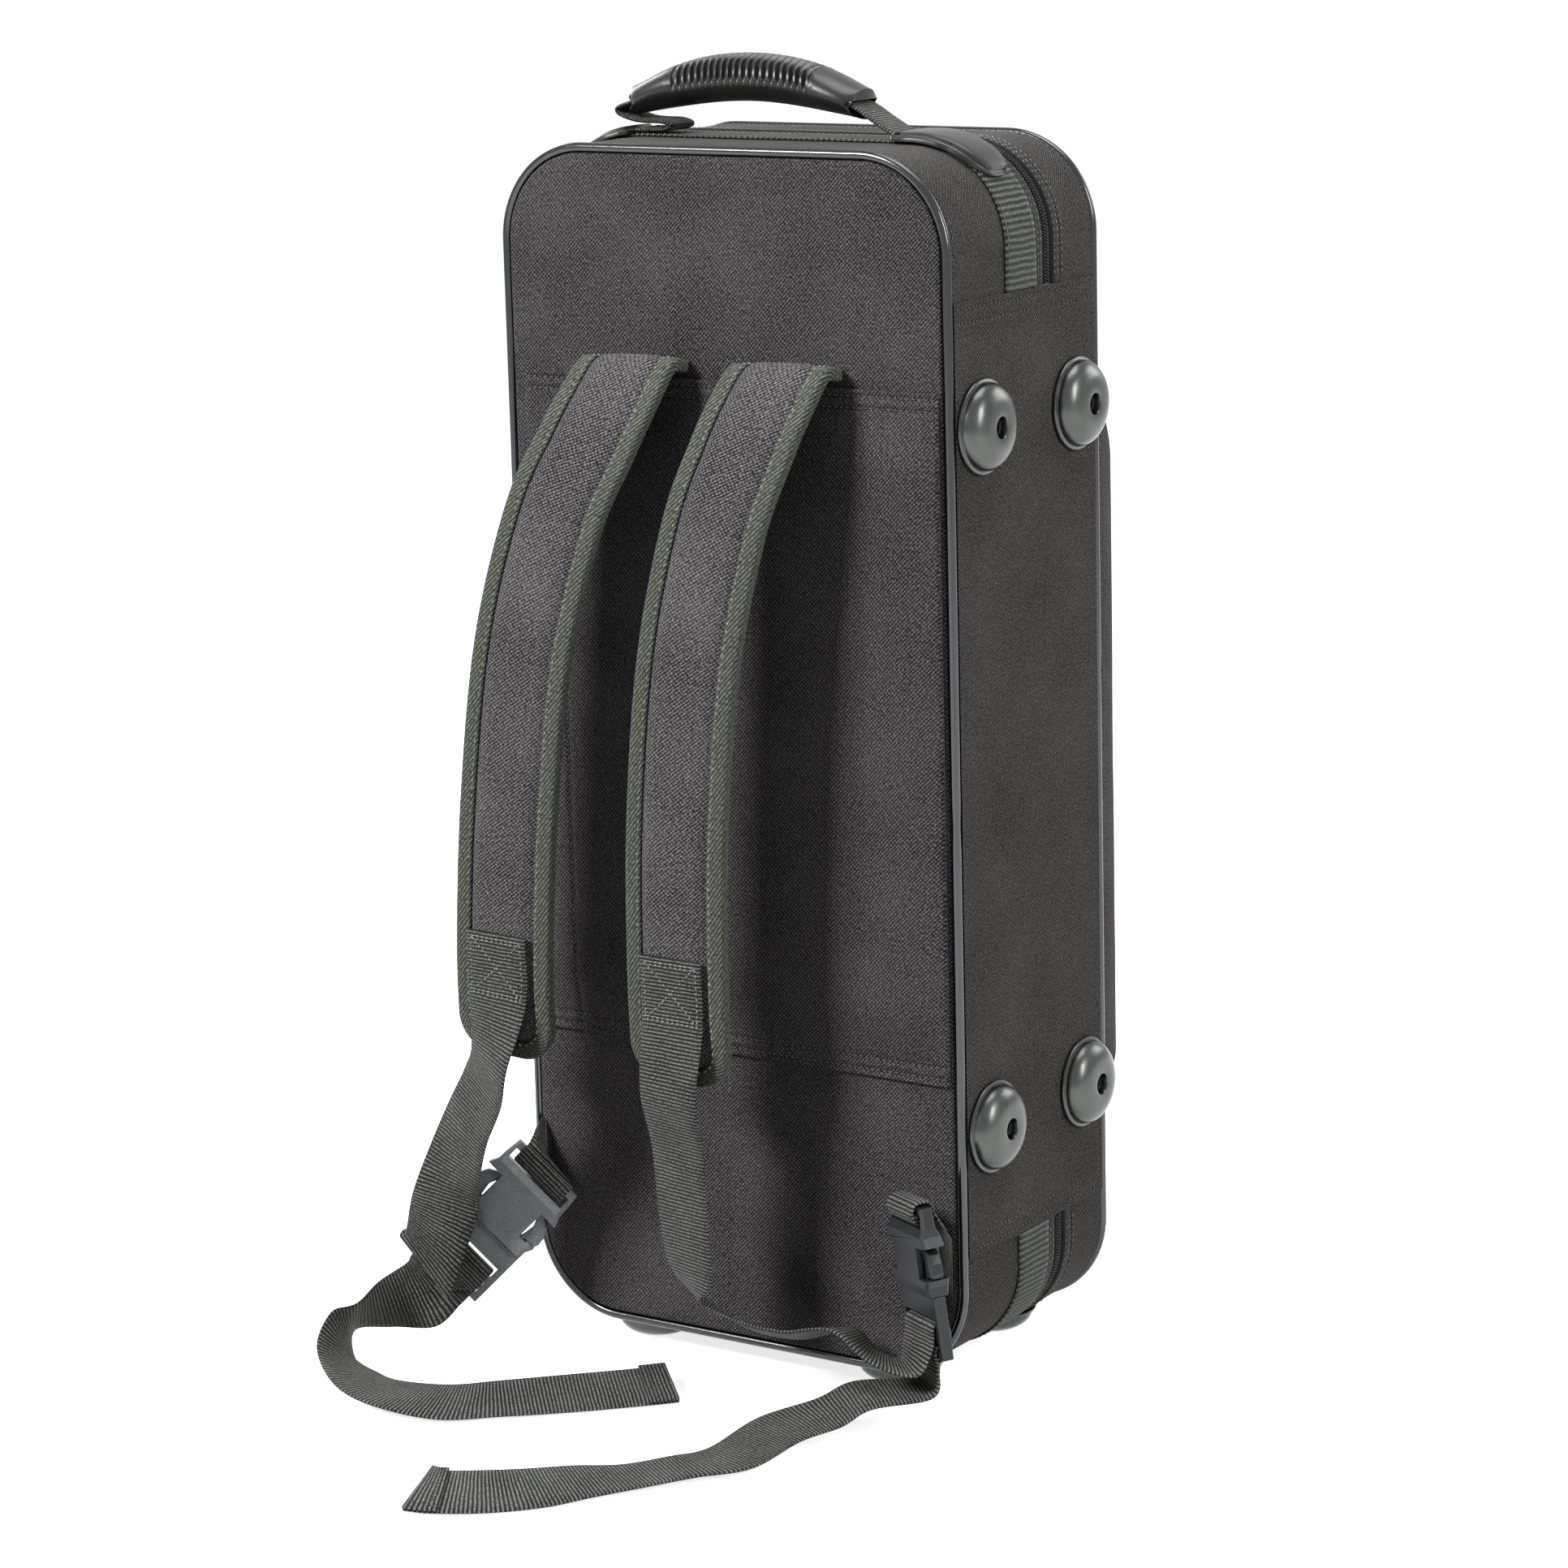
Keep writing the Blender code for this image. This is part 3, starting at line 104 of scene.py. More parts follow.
class Surface:
    """A procedural material under construction."""

    def __init__(self, name):
        self.made = bpy.data.materials.new(name)
        self.made.use_nodes = True
        self.tree = self.made.node_tree
        self.shader = self.tree.nodes["Principled BSDF"]

    def add(self, kind, out=0, **inputs):
        node = self.tree.nodes.new(kind)
        for key, value in inputs.items():
            put(self.tree, node.inputs[key], value)
        return node.outputs[out]

    def times(self, a, b):
        return maths(self.tree, "MULTIPLY", a, b)

    def plus(self, a, b):
        return maths(self.tree, "ADD", a, b)

    def times_plus(self, a, b, c):
        return maths(self.tree, "MULTIPLY_ADD", a, b, c)

    def power(self, a, b):
        return maths(self.tree, "POWER", a, b)

    def centred(self, value):
        return maths(self.tree, "SUBTRACT", value, 0.5)

    def wave(self, value, turn):
        return maths(self.tree, "SINE", self.times(value, turn))

    def ridge(self, value, turn):
        return maths(self.tree, "ABSOLUTE", self.wave(value, turn))

    def mix(self, share, a, b):
        return mixed(self.tree, share, a, b)

    def noise(self, where, scale, detail=2.0):
        return self.add(
            "ShaderNodeTexNoise", Vector=where, Scale=float(scale), Detail=float(detail)
        )

    def ramp(self, value, low, high):
        node = self.tree.nodes.new("ShaderNodeMapRange")
        for index, given in enumerate((value, low, high)):
            put(self.tree, node.inputs[index], given)
        return node.outputs[0]

    def cloth_uv(self):
        uv = self.add("ShaderNodeUVMap")
        parts = self.tree.nodes.new("ShaderNodeSeparateXYZ")
        put(self.tree, parts.inputs[0], uv)
        return uv, parts.outputs[0], parts.outputs[1]

    def slanted_noise(self, across, along, wide, long):
        """Noise drawn out along a slant, from two lengths in metres and their scales."""
        joined = self.add("ShaderNodeCombineXYZ", X=self.times(across, wide),
                          Y=self.times(along, long))
        return self.noise(joined, 1.0, 1.0)

    def place(self):
        return self.add("ShaderNodeTexCoord", out=3)

    def bump(self, height, distance, strength):
        made = self.add("ShaderNodeBump", Height=height, Distance=distance, Strength=strength)
        put(self.tree, self.shader.inputs["Normal"], made)

    def finish(self, colour, rough, sheen=0.0, coat=0.0, metal=0.0, specular=0.5):
        for key, value in (("Base Color", colour), ("Roughness", rough), ("Sheen Weight", sheen),
                           ("Sheen Roughness", 0.5), ("Coat Weight", coat),
                           ("Coat Roughness", 0.12), ("Metallic", metal),
                           ("Specular IOR Level", specular)):
            put(self.tree, self.shader.inputs[key], value)
        return self.made


def woven(name, dark, light, slant=1):
    """Woven polyester: fine slanting lines of yarn, uneven and flecked with light threads."""
    s = Surface(name)
    pitch = 0.0015
    uv, u, v = s.cloth_uv()
    across, along = maths(s.tree, "SUBTRACT", u, v), s.plus(u, v)
    if slant < 0:
        across, along = along, across
    turn = 2 * math.pi / (pitch * math.sqrt(2))
    line = s.times_plus(s.wave(across, turn), 0.5, 0.5)
    cross = s.times_plus(s.wave(along, turn * 0.8), 0.5, 0.5)
    streak = s.slanted_noise(across, along, 1.2 / pitch, 0.5 / pitch)
    fleck = s.noise(uv, 1.25 / pitch, 1.0)
    height = s.times(line, s.times_plus(cross, 0.7, 0.3))
    lit = s.times(height, s.ramp(streak, 0.22, 0.60))
    lit = s.times_plus(s.ramp(fleck, 0.52, 0.72), 0.55, s.times(lit, 1.25))
    lit = s.times_plus(s.centred(s.noise(uv, 16, 3.0)), 0.40, lit)
    s.bump(height, 0.0002, 0.8)
    return s.finish(s.mix(s.ramp(lit, 0.0, 1.1), dark, light), s.ramp(streak, -1.8, 1.0),
                    sheen=0.05, specular=0.06)


def ribbed(name, dark, light, pitch, bump=0.0006, fine=0.00075):
    """Ribbed webbing: rounded ribs across it, each of fine yarn, with a painted highlight on its
    crown and painted shade between ribs.
    """
    s = Surface(name)
    uv, u, v = s.cloth_uv()
    wobble = s.times(s.centred(s.noise(uv, 90, 1.0)), pitch * 0.4)
    rib = s.ridge(s.plus(u, wobble), math.pi / pitch)
    yarn = s.ridge(s.times_plus(u, 0.35, v), math.pi / fine)
    speck = s.noise(uv, 750, 1.0)
    # lit: painted highlight on each rib's crown and painted shade between ribs, broken up by yarn
    # and specks
    lit = s.times(s.times(s.power(rib, 3.2), s.ramp(speck, 0.22, 0.70)),
                  s.times_plus(yarn, 0.5, 0.5))
    cloud = s.times(s.centred(s.noise(uv, 40, 2.0)), 0.25)
    s.bump(s.times(s.power(rib, 0.6), s.times_plus(yarn, 0.25, 0.75)), bump, 0.9)
    return s.finish(s.mix(s.ramp(s.plus(lit, cloud), 0.0, 0.8), dark, light),
                    s.ramp(speck, -0.9, 1.2), sheen=0.06, specular=0.14)


def twilled(name, dark, light):
    """Binding tape with steep slanting lines."""
    s = Surface(name)
    uv, u, v = s.cloth_uv()
    line = s.ridge(s.times_plus(v, 0.85, s.times(u, 0.6)), math.pi / 0.0019)
    cross = s.ridge(u, math.pi / 0.0008)
    speck = s.noise(uv, 620, 1.0)
    lit = s.times(s.power(line, 1.6), s.ramp(speck, 0.25, 0.72))
    s.bump(s.times_plus(cross, 0.2, line), 0.0003, 0.8)
    return s.finish(s.mix(s.ramp(lit, 0.0, 0.8), dark, light), s.ramp(speck, -1.6, 1.1),
                    sheen=0.06, specular=0.12)


def moulded(name, dark, light, rough, grain=0.00008, scale=1800, metal=0.0):
    """Moulded plastic: a fine grain, cloudy gloss and a little wear."""
    s = Surface(name)
    where = s.place()
    cloud = s.noise(where, 60, 4.0)
    wear = s.ramp(s.noise(where, 300, 5.0), 0.60, 0.78)
    share = s.ramp(s.plus(s.times(cloud, 0.7), s.times(wear, 0.2)), 0.15, 0.85)
    s.bump(s.noise(where, scale, 2.0), grain, 0.7)
    return s.finish(s.mix(share, dark, light), s.plus(s.times(cloud, 0.16), rough - 0.08),
                    metal=metal, specular=0.35)


def speckled(name, dark, light, rough):
    """Textured plastic whose grain carries tiny light points as painted glints, on a pale colour
    that is painted sheen.
    """
    s = Surface(name)
    where = s.place()
    cells = s.add("ShaderNodeTexVoronoi", Vector=where, Scale=1700.0)
    points = s.ramp(cells, 0.45, 0.12)
    # share: tiny light points as painted glints and a cloud of painted sheen over the dark plastic
    share = s.plus(s.times(points, 0.55), s.times(s.noise(where, 40, 3.0), 0.45))
    s.bump(cells, 0.00014, 0.6)
    return s.finish(s.mix(share, dark, light), s.plus(s.times(cells, 0.22), rough - 0.1),
                    specular=0.4)


def glossy_piping(name, clean, dusty):
    s = Surface(name)
    where = s.place()
    dust = s.ramp(s.noise(where, 700, 3.0), 0.56, 0.72)
    s.bump(s.noise(where, 110, 3.0), 0.0003, 0.25)
    return s.finish(s.mix(s.times(dust, 0.25), clean, dusty), s.plus(s.times(dust, 0.10), 0.17),
                    metal=1.0)


def plush(name, dark, light):
    s = Surface(name)
    where = s.place()
    pile, brushed = s.noise(where, 1300, 3.0), s.noise(where, 45, 4.0)
    share = s.ramp(s.plus(s.times(pile, 0.5), s.times(brushed, 0.6)), 0.35, 0.75)
    s.bump(s.plus(pile, brushed), 0.0009, 0.8)
    return s.finish(s.mix(share, dark, light), 0.95, sheen=0.35, specular=0.1)


def board(name, dark, light):
    s = Surface(name)
    where = s.place()
    fibre = s.noise(where, 500, 6.0)
    share = s.ramp(s.plus(s.times(fibre, 0.6), s.times(s.noise(where, 30, 3.0), 0.4)), 0.3, 0.7)
    s.bump(fibre, 0.0003, 0.6)
    return s.finish(s.mix(share, dark, light), s.ramp(fibre, -2.0, 1.1), specular=0.2)


def lacquered(name, dark, worn):
    s = Surface(name)
    where = s.place()
    cloud = s.noise(where, 260, 4.0)
    wear = s.ramp(s.noise(where, 900, 4.0), 0.58, 0.70)
    s.bump(cloud, 0.00008, 0.5)
    return s.finish(s.mix(wear, dark, worn), s.plus(s.times(cloud, 0.2), 0.22), metal=0.35,
                    coat=0.4)


def steel(name, dark, light):
    s = Surface(name)
    cloud = s.noise(s.place(), 500, 4.0)
    s.bump(cloud, 0.00006, 0.5)
    return s.finish(s.mix(cloud, dark, light), s.plus(s.times(cloud, 0.25), 0.2), metal=1.0)


def thread(name, dark, light):
    s = Surface(name)
    twist = s.noise(s.place(), 1500, 2.0)
    s.bump(twist, 0.0001, 0.6)
    return s.finish(s.mix(s.ramp(twist, 0.3, 0.7), dark, light), s.ramp(twist, -1.4, 1.2),
                    specular=0.4)


m_back = woven("cloth_back", (0.0065, 0.006, 0.0065), (0.170, 0.159, 0.165))
m_side = woven("cloth_side", (0.006, 0.0055, 0.0055), (0.128, 0.120, 0.117), slant=-1)
m_strap = woven("cloth_strap", (0.008, 0.0075, 0.008), (0.250, 0.234, 0.241))
m_band = ribbed("webbing_band_cloth", (0.012, 0.013, 0.012), (0.190, 0.200, 0.180), 0.0034,
                bump=0.0007, fine=0.0011)
m_web = ribbed("webbing_cloth", (0.0035, 0.0035, 0.0035), (0.265, 0.270, 0.248), 0.0020,
               bump=0.0007)
m_carry = ribbed("carry_cloth", (0.005, 0.005, 0.005), (0.220, 0.220, 0.205), 0.0018)
m_tape = ribbed("zip_tape_cloth", (0.004, 0.004, 0.005), (0.030, 0.030, 0.032), 0.0012,
                bump=0.0002, fine=0.0006)
m_bind = twilled("binding_cloth", (0.022, 0.025, 0.020), (0.190, 0.200, 0.172))
m_piping = glossy_piping("piping_gloss", (0.058, 0.060, 0.062), (0.040, 0.041, 0.042))
m_foot = moulded("foot_plastic", (0.062, 0.065, 0.063), (0.100, 0.103, 0.100), 0.28,
                 grain=0.00005, metal=1.0)
m_rubber = moulded("grip_rubber", (0.009, 0.009, 0.009), (0.022, 0.022, 0.021), 0.33,
                   grain=0.00006, scale=2400)
# Textured plastic with painted glints and painted sheen in its pale colour, for the left buckle.
m_buckle_painted_sheen = speckled("buckle_plastic_painted_sheen", (0.040, 0.042, 0.045), (0.380, 0.390, 0.405), 0.32)
m_buckle_dark = moulded("buckle_dark_plastic", (0.010, 0.011, 0.012), (0.030, 0.032, 0.035), 0.30)
m_plush = plush("plush_lining", (0.010, 0.010, 0.012), (0.050, 0.050, 0.056))
m_board = board("pressed_board", (0.10, 0.075, 0.050), (0.26, 0.20, 0.14))
m_metal = lacquered("black_lacquer", (0.012, 0.012, 0.013), (0.09, 0.09, 0.092))
m_steel = steel("screw_steel", (0.20, 0.20, 0.20), (0.46, 0.46, 0.45))
m_tooth = moulded("zip_coil", (0.010, 0.010, 0.011), (0.045, 0.045, 0.046), 0.28, grain=0.00003)
m_thread = thread("thread_dark", (0.022, 0.021, 0.021), (0.190, 0.184, 0.180))
m_thread_light = thread("thread_light", (0.120, 0.125, 0.108), (0.480, 0.490, 0.430))


# ---------------------------------------------------------------- mesh helpers

def clamp(value):
    return min(max(value, 0), 1)


def ease(share):
    return share * share * (3 - 2 * share)


def hemmed(low, high, near, inner, count):
    """Levels from low to high, at near distances from both ends and evenly spread within."""
    even = [low + inner + (high - low - 2 * inner) * k / (count - 1) for k in range(count)]
    return [low + far for far in near] + even + [high - far for far in reversed(near)]


def dip(far, wide):
    """1 on a seam's line, fading to 0 about two widths away from it."""
    return math.exp(-(far / wide) ** 2)


def link(name, data):
    obj = bpy.data.objects.new(name, data)
    bpy.context.scene.collection.objects.link(obj)
    return obj


def new_mesh(name, points, faces, material, uvs=None):
    """A smooth mesh; one with cloth coordinates, a pair for each corner, is turned outward."""
    mesh = bpy.data.meshes.new(name)
    mesh.from_pydata([tuple(p) for p in points], [], faces)
    if uvs:
        layer = mesh.uv_layers.new(name="UVMap")
        layer.data.foreach_set("uv", [c for pair in uvs for c in pair])
        bm = bmesh.new()
        bm.from_mesh(mesh)
        bmesh.ops.recalc_face_normals(bm, faces=bm.faces)
        bm.to_mesh(mesh)
        bm.free()
    mesh.materials.append(material)
    mesh.shade_smooth()
    return mesh


def surface(name, rows, us, vs, material, ring=False, loop=False, caps=False, smooth=50):
    """A mesh of quads between rows of points, with its cloth coordinates in metres."""
    wide, tall = len(rows[0]), len(rows)
    faces = []
    coords = []
    for i in range(tall if loop else tall - 1):
        k = (i + 1) % tall
        for j in range(wide if ring else wide - 1):
            n = (j + 1) % wide
            faces.append((i * wide + j, i * wide + n, k * wide + n, k * wide + j))
            coords += [(us[i], vs[j]), (us[i], vs[j + 1]), (us[i + 1], vs[j + 1]),
                       (us[i + 1], vs[j])]
    if caps:
        for i in (0, tall - 1):
            faces.append(tuple(i * wide + j for j in range(wide)))
            coords += [(us[i], vs[j]) for j in range(wide)]
    mesh = new_mesh(name, [p for row in rows for p in row], faces, material, coords)
    if smooth < 180:
        mesh.set_sharp_from_angle(angle=math.radians(smooth))
    return link(name, mesh)


def lengths(points):
    """Distances along a line of points, from 0 at its start."""
    out = [0.0]
    for a, b in zip(points, points[1:]):
        out.append(out[-1] + (Vector(b) - Vector(a)).length)
    return out


def smooth_route(points, steps):
    """Points along a Catmull-Rom curve through vectors, as the source makes them."""
    ends = [points[0] * 2 - points[1]] + list(points) + [points[-1] * 2 - points[-2]]
    out = []
    for i in range(1, len(ends) - 2):
        a, b, c, d = ends[i - 1:i + 3]
        for k in range(steps):
            t = k / steps
            out.append(
                b + (c - a) * (0.5 * t)
                + (a * 2 - b * 5 + c * 4 - d) * (0.5 * t * t)
                + (b * 3 - c * 3 + d - a) * (0.5 * t ** 3)
            )
    out.append(points[-1].copy())
    return out


def profile_runs(profile):
    """Distances along a profile of pairs, and the one back at its start."""
    points = [Vector((*pair, 0)) for pair in profile]
    return lengths(points + points[:1])


def frames_along(route, acrosses):
    """Frames of (place, across, along, normal) on a route, square to it."""
    out = []
    for i, place in enumerate(route):
        ahead = route[min(i + 1, len(route) - 1)] - route[max(i - 1, 0)]
        along = ahead.normalized()
        across = acrosses[i] - along * acrosses[i].dot(along)
        across.normalize()
        out.append((place, across, along, across.cross(along)))
    return out


def ribbon(name, frames, width, thick, material):
    """Webbing swept through frames, with rounded selvedges."""
    half, edge, stops = width / 2, thick / 2, 6
    top = [(edge - half + (width - thick) * k / stops, edge) for k in range(stops + 1)]
    section = top + [(half, 0)] + [(-x, -y) for x, y in top] + [(-half, 0)]
    rows = [[place + across * x + normal * y for x, y in section]
            for place, across, _, normal in frames]
    us = lengths([f[0] for f in frames])
    return surface(name, rows, us, profile_runs(section), material, ring=True, caps=True,
                   smooth=60)


def rounded(half, low, high, radius, turns):
    """The arcs of a rounded rectangle as (x, z, normal x, normal z), over the head from +x."""
    flat = half - radius
    spots = []
    for cx, cz, first in ((flat, high - radius, 0), (-flat, high - radius, 90),
                          (-flat, low + radius, 180), (flat, low + radius, 270)):
        for k in range(turns + 1):
            angle = math.radians(first + 90 * k / turns)
            c, s = math.cos(angle), math.sin(angle)
            spots.append((cx + radius * c, cz + radius * s, c, s))
    return spots


def rim(head_z=None, foot_z=None, step=0.014, turns=18):
    """Places round the case as rounded gives them, and their runs; closed without ends."""
    spots = rounded(half_w, 0, case_h, corner_r, turns)
    if head_z is None:
        spots.append(spots[0])
    else:
        spots = [(half_w, head_z, 1.0, 0.0)] + spots + [(half_w, foot_z, 1.0, 0.0)]
    out = []
    runs = []
    run = 0.0
    for a, b in zip(spots, spots[1:]):
        far = math.hypot(b[0] - a[0], b[1] - a[1])
        count = max(1, math.ceil(far / step))
        for k in range(count):
            t = k / count
            out.append(tuple(p + (q - p) * t for p, q in zip(a, b)))
            runs.append(run + far * t)
        run += far
    if head_z is not None:
        out.append(spots[-1])
    runs.append(run)
    return out, runs


def on_rim(spot, inset, y):
    return Vector((spot[0] - spot[2] * inset, y, spot[1] - spot[3] * inset))


def wrap(name, profile, material, body, ends=None, ring=False, ripple=0.0):
    """Fabric swept round the case from a profile of (inset, y); ends make it open."""
    spots, runs = rim(*(ends or (None, None)))
    rows = []
    for spot, run in zip(spots, runs):
        row = []
        for inset, y in profile:
            wave = ripple * noise.noise(Vector((run * 40, y * 90, 3.7)))
            row.append(on_rim(spot, inset - abs(wave), y))
        rows.append(row)
    obj = surface(name, rows, runs, profile_runs(profile), material, ring=ring,
                  loop=ends is None, caps=ring and ends is not None, smooth=50)
    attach(obj, body)
    return obj


def stitch_mesh(name, dashes, material, long=0.0026, wide=0.0007, high=0.00045):
    """A row of thread stitches from (place, along, normal) for each."""
    points = []
    faces = []
    for place, along, normal in dashes:
        across = along.cross(normal)
        base = len(points)
        tilt = along * (long / 2) + across * (wide * 0.25)
        points += [place - tilt, place + tilt, place - across * (wide / 2),
                   place + across * (wide / 2), place + normal * high,
                   place - normal * (high * 0.5)]
        for a, b in ((2, 4), (4, 3), (3, 5), (5, 2)):
            faces += [(base, base + a, base + b), (base + 1, base + b, base + a)]
    return link(name, new_mesh(name, points, faces, material))


def dashes_on(points, normals, pitch=0.0036):
    """Evenly spaced places along a line of points with normals."""
    runs = lengths(points)
    out = []
    i = 0
    run = pitch / 2
    while run < runs[-1]:
        while runs[i + 1] < run:
            i += 1
        t = (run - runs[i]) / (runs[i + 1] - runs[i])
        along = (points[i + 1] - points[i]).normalized()
        normal = normals[i].lerp(normals[i + 1], t).normalized()
        out.append((points[i].lerp(points[i + 1], t), along, normal))
        run += pitch
    return out


def rim_dashes(inset, y, ends=None):
    spots, _ = rim(*(ends or (None, None)))
    if ends is None:
        spots = spots + [spots[0]]
    points = [on_rim(s, inset, y) for s in spots]
    return dashes_on(points, [Vector((s[2], 0, s[3])) for s in spots])


def line_dashes(a, b, normal, pitch=0.0036):
    return dashes_on([Vector(a), Vector(b)], [Vector(normal)] * 2, pitch)


def sew(name, dashes, body, material=m_thread, **sizes):
    """One piece of stitches, or of zip teeth, that rides a body."""
    obj = stitch_mesh(name, dashes, material, **sizes)
    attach(obj, body)
    return obj


def cad_look(name, material, bevel=0.0, segments=2, angle=40):
    """A CAD node that stays, with its finish and softened edges."""
    obj = nodes[name]
    obj.data.materials.clear()
    obj.data.materials.append(material)
    weld = obj.modifiers.new("weld", "WELD")
    weld.merge_threshold = 0.000005
    if bevel:
        made = obj.modifiers.new("edges", "BEVEL")
        made.width = bevel
        made.segments = segments
        made.limit_method = "ANGLE"
        made.angle_limit = math.radians(angle)
        made.harden_normals = True
    return obj


def revolve(name, profile, steps, matrix, material):
    """Turns a profile of (radius, height) about local Z, closed at both ends on the axis."""
    rows = []
    for k in range(steps):
        angle = 2 * math.pi * k / steps
        rows.append([
            matrix @ Vector((r * math.cos(angle), r * math.sin(angle), h)) for r, h in profile
        ])
    us = [k / steps * 0.15 for k in range(steps + 1)]
    return surface(name, rows, us, profile_runs(profile), material, loop=True, smooth=40)


# ---------------------------------------------------------------- camera, light, floor

def camera():
    """The photograph's view: turn about the case, height, roll, place and lens."""
    azimuth, elevation, roll = (math.radians(a) for a in (33.654, 12.479, -1.450))
    place, lens_mm = (1.31606, -2.00305, 0.82492), 105.09
    back = Vector((math.sin(azimuth) * math.cos(elevation),
                   -math.cos(azimuth) * math.cos(elevation), math.sin(elevation)))
    right = (-back).cross(Vector((0, 0, 1))).normalized()
    up = right.cross(-back)
    x_axis = right * math.cos(roll) + up * math.sin(roll)
    y_axis = up * math.cos(roll) - right * math.sin(roll)
    data = bpy.data.cameras.new("view")
    data.lens = lens_mm
    data.sensor_width = 36
    data.clip_end = 200
    obj = link("view", data)
    turn = Matrix((x_axis, y_axis, back)).transposed().to_4x4()
    obj.matrix_world = Matrix.Translation(place) @ turn
    bpy.context.scene.camera = obj


def lamp(name, place, target, size, power, size_y=None):
    """A square area light, or one of size by size_y, turned to its target."""
    data = bpy.data.lights.new(name, "AREA")
    data.shape = "RECTANGLE"
    data.size = size
    data.size_y = size_y or size
    data.energy = power
    obj = link(name, data)
    obj.location = place
    obj.rotation_mode = "QUATERNION"
    obj.rotation_quaternion = (Vector(target) - Vector(place)).to_track_quat("-Z", "Y")


def seen(tree):
    """1 for what the camera sees, in mirrors and through glass too."""
    path = tree.nodes.new("ShaderNodeLightPath").outputs
    first = maths(tree, "MAXIMUM", path["Is Camera Ray"], path["Is Transmission Ray"])
    return maths(tree, "MAXIMUM", first, path["Is Glossy Ray"])


def light_and_floor():
    """A white room to the eye that lights the object only a little, and five lamps."""
    fill, floor_dark, floor_white, floor_glow, reach = 0.11, 0.25, 0.92, 0.78, 40
    scene = bpy.context.scene
    scene.view_settings.view_transform = "Standard"
    scene.world = bpy.data.worlds.new("studio")
    scene.world.use_nodes = True
    tree = scene.world.node_tree
    ground = tree.nodes["Background"]
    put(tree, ground.inputs["Color"], (1, 1, 1))
    put(tree, ground.inputs["Strength"], maths(tree, "MAXIMUM", seen(tree), fill))

    lamp("key", (-1.5, -2.6, 2.4), (0, 0, 0.35), 1.0, 165)
    lamp("side", (2.6, -0.2, 1.5), (0.1, 0, 0.3), 0.6, 42, 1.2)
    lamp("rim", (-2.2, 1.2, 1.4), (0, 0, 0.4), 0.5, 24, 1.8)
    lamp("top", (0.2, 0.3, 3.0), (0, 0, 0.5), 1.6, 50)
    lamp("back", (1.4, 2.7, 1.6), (0, 0, 0.35), 1.4, 34)

    made = bpy.data.materials.new("pale_floor")
    made.use_nodes = True
    tree = made.node_tree
    shader = tree.nodes["Principled BSDF"]
    white = seen(tree)
    tone = mixed(tree, white, (floor_dark,) * 3, (floor_white,) * 3)
    for key, value in (("Base Color", tone), ("Roughness", 0.6), ("Specular IOR Level", 0.2),
                       ("Emission Color", (1, 1, 1)),
                       ("Emission Strength", maths(tree, "MULTIPLY", white, floor_glow))):
        put(tree, shader.inputs[key], value)
    corners = [(-reach, -reach, floor_z), (reach, -reach, floor_z), (reach, reach, floor_z),
               (-reach, reach, floor_z)]
    floor = link("floor", new_mesh("floor", corners, [(0, 1, 2, 3)], made))


# ---------------------------------------------------------------- the fabric body

def case_cover(name, face_y, toward, body, node):
    """The padded fabric face inside the piping: full in the middle, drawn in at the seam."""
    inset_and_depth = ((0.0053, 0.0018), (0.0054, 0.0011), (0.0060, 0.00055), (0.0072, 0.00020),
                       (0.0090, 0.00002), (0.0120, -0.00010), (0.0180, -0.00005), (0.0300, 0.0),
                       (0.0500, 0.0))
    spots, _ = rim(step=0.02, turns=14)
    points = []
    for inset, deep in inset_and_depth:
        for s in spots:
            wave = 0.00018 * noise.noise(Vector((s[0] * 55, s[1] * 55, 1.3))) * min(deep * 900, 1)
            points.append(on_rim(s, inset, face_y + toward * (deep + abs(wave))))
    wide, tall = len(spots), len(inset_and_depth)
    faces = []
    for i in range(tall - 1):
        for j in range(wide):
            n = (j + 1) % wide
            faces.append((i * wide + j, i * wide + n, (i + 1) * wide + n, (i + 1) * wide + j))
    faces.append(tuple((tall - 1) * wide + j for j in range(wide)))
    uvs = [(points[k].x, points[k].z) for face in faces for k in face]
    obj = link(name, new_mesh(name, points, faces, m_back, uvs))
    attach(obj, body)
    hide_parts(node)


def piping(name, y, body, node, joint_z):
    """Glossy tube, a little thinner at its butt joint on the hinge side."""
    radius, sides = 0.0025, 14
    spots, runs = rim(turns=22)
    rows = []
    for s in spots:
        near = abs(s[1] - joint_z) if s[0] > half_w - 0.01 else 1.0
        r = radius * (0.86 if near < 0.006 else 1.0)
        row = []
        for k in range(sides):
            angle = 2 * math.pi * k / sides
            row.append(on_rim(s, radius - r * math.cos(angle), y + r * math.sin(angle)))
        rows.append(row)
    vs = [2 * math.pi * radius * k / sides for k in range(sides + 1)]
    obj = surface(name, rows, runs, vs, m_piping, ring=True, loop=True, smooth=180)
    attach(obj, body)
    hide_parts(node)


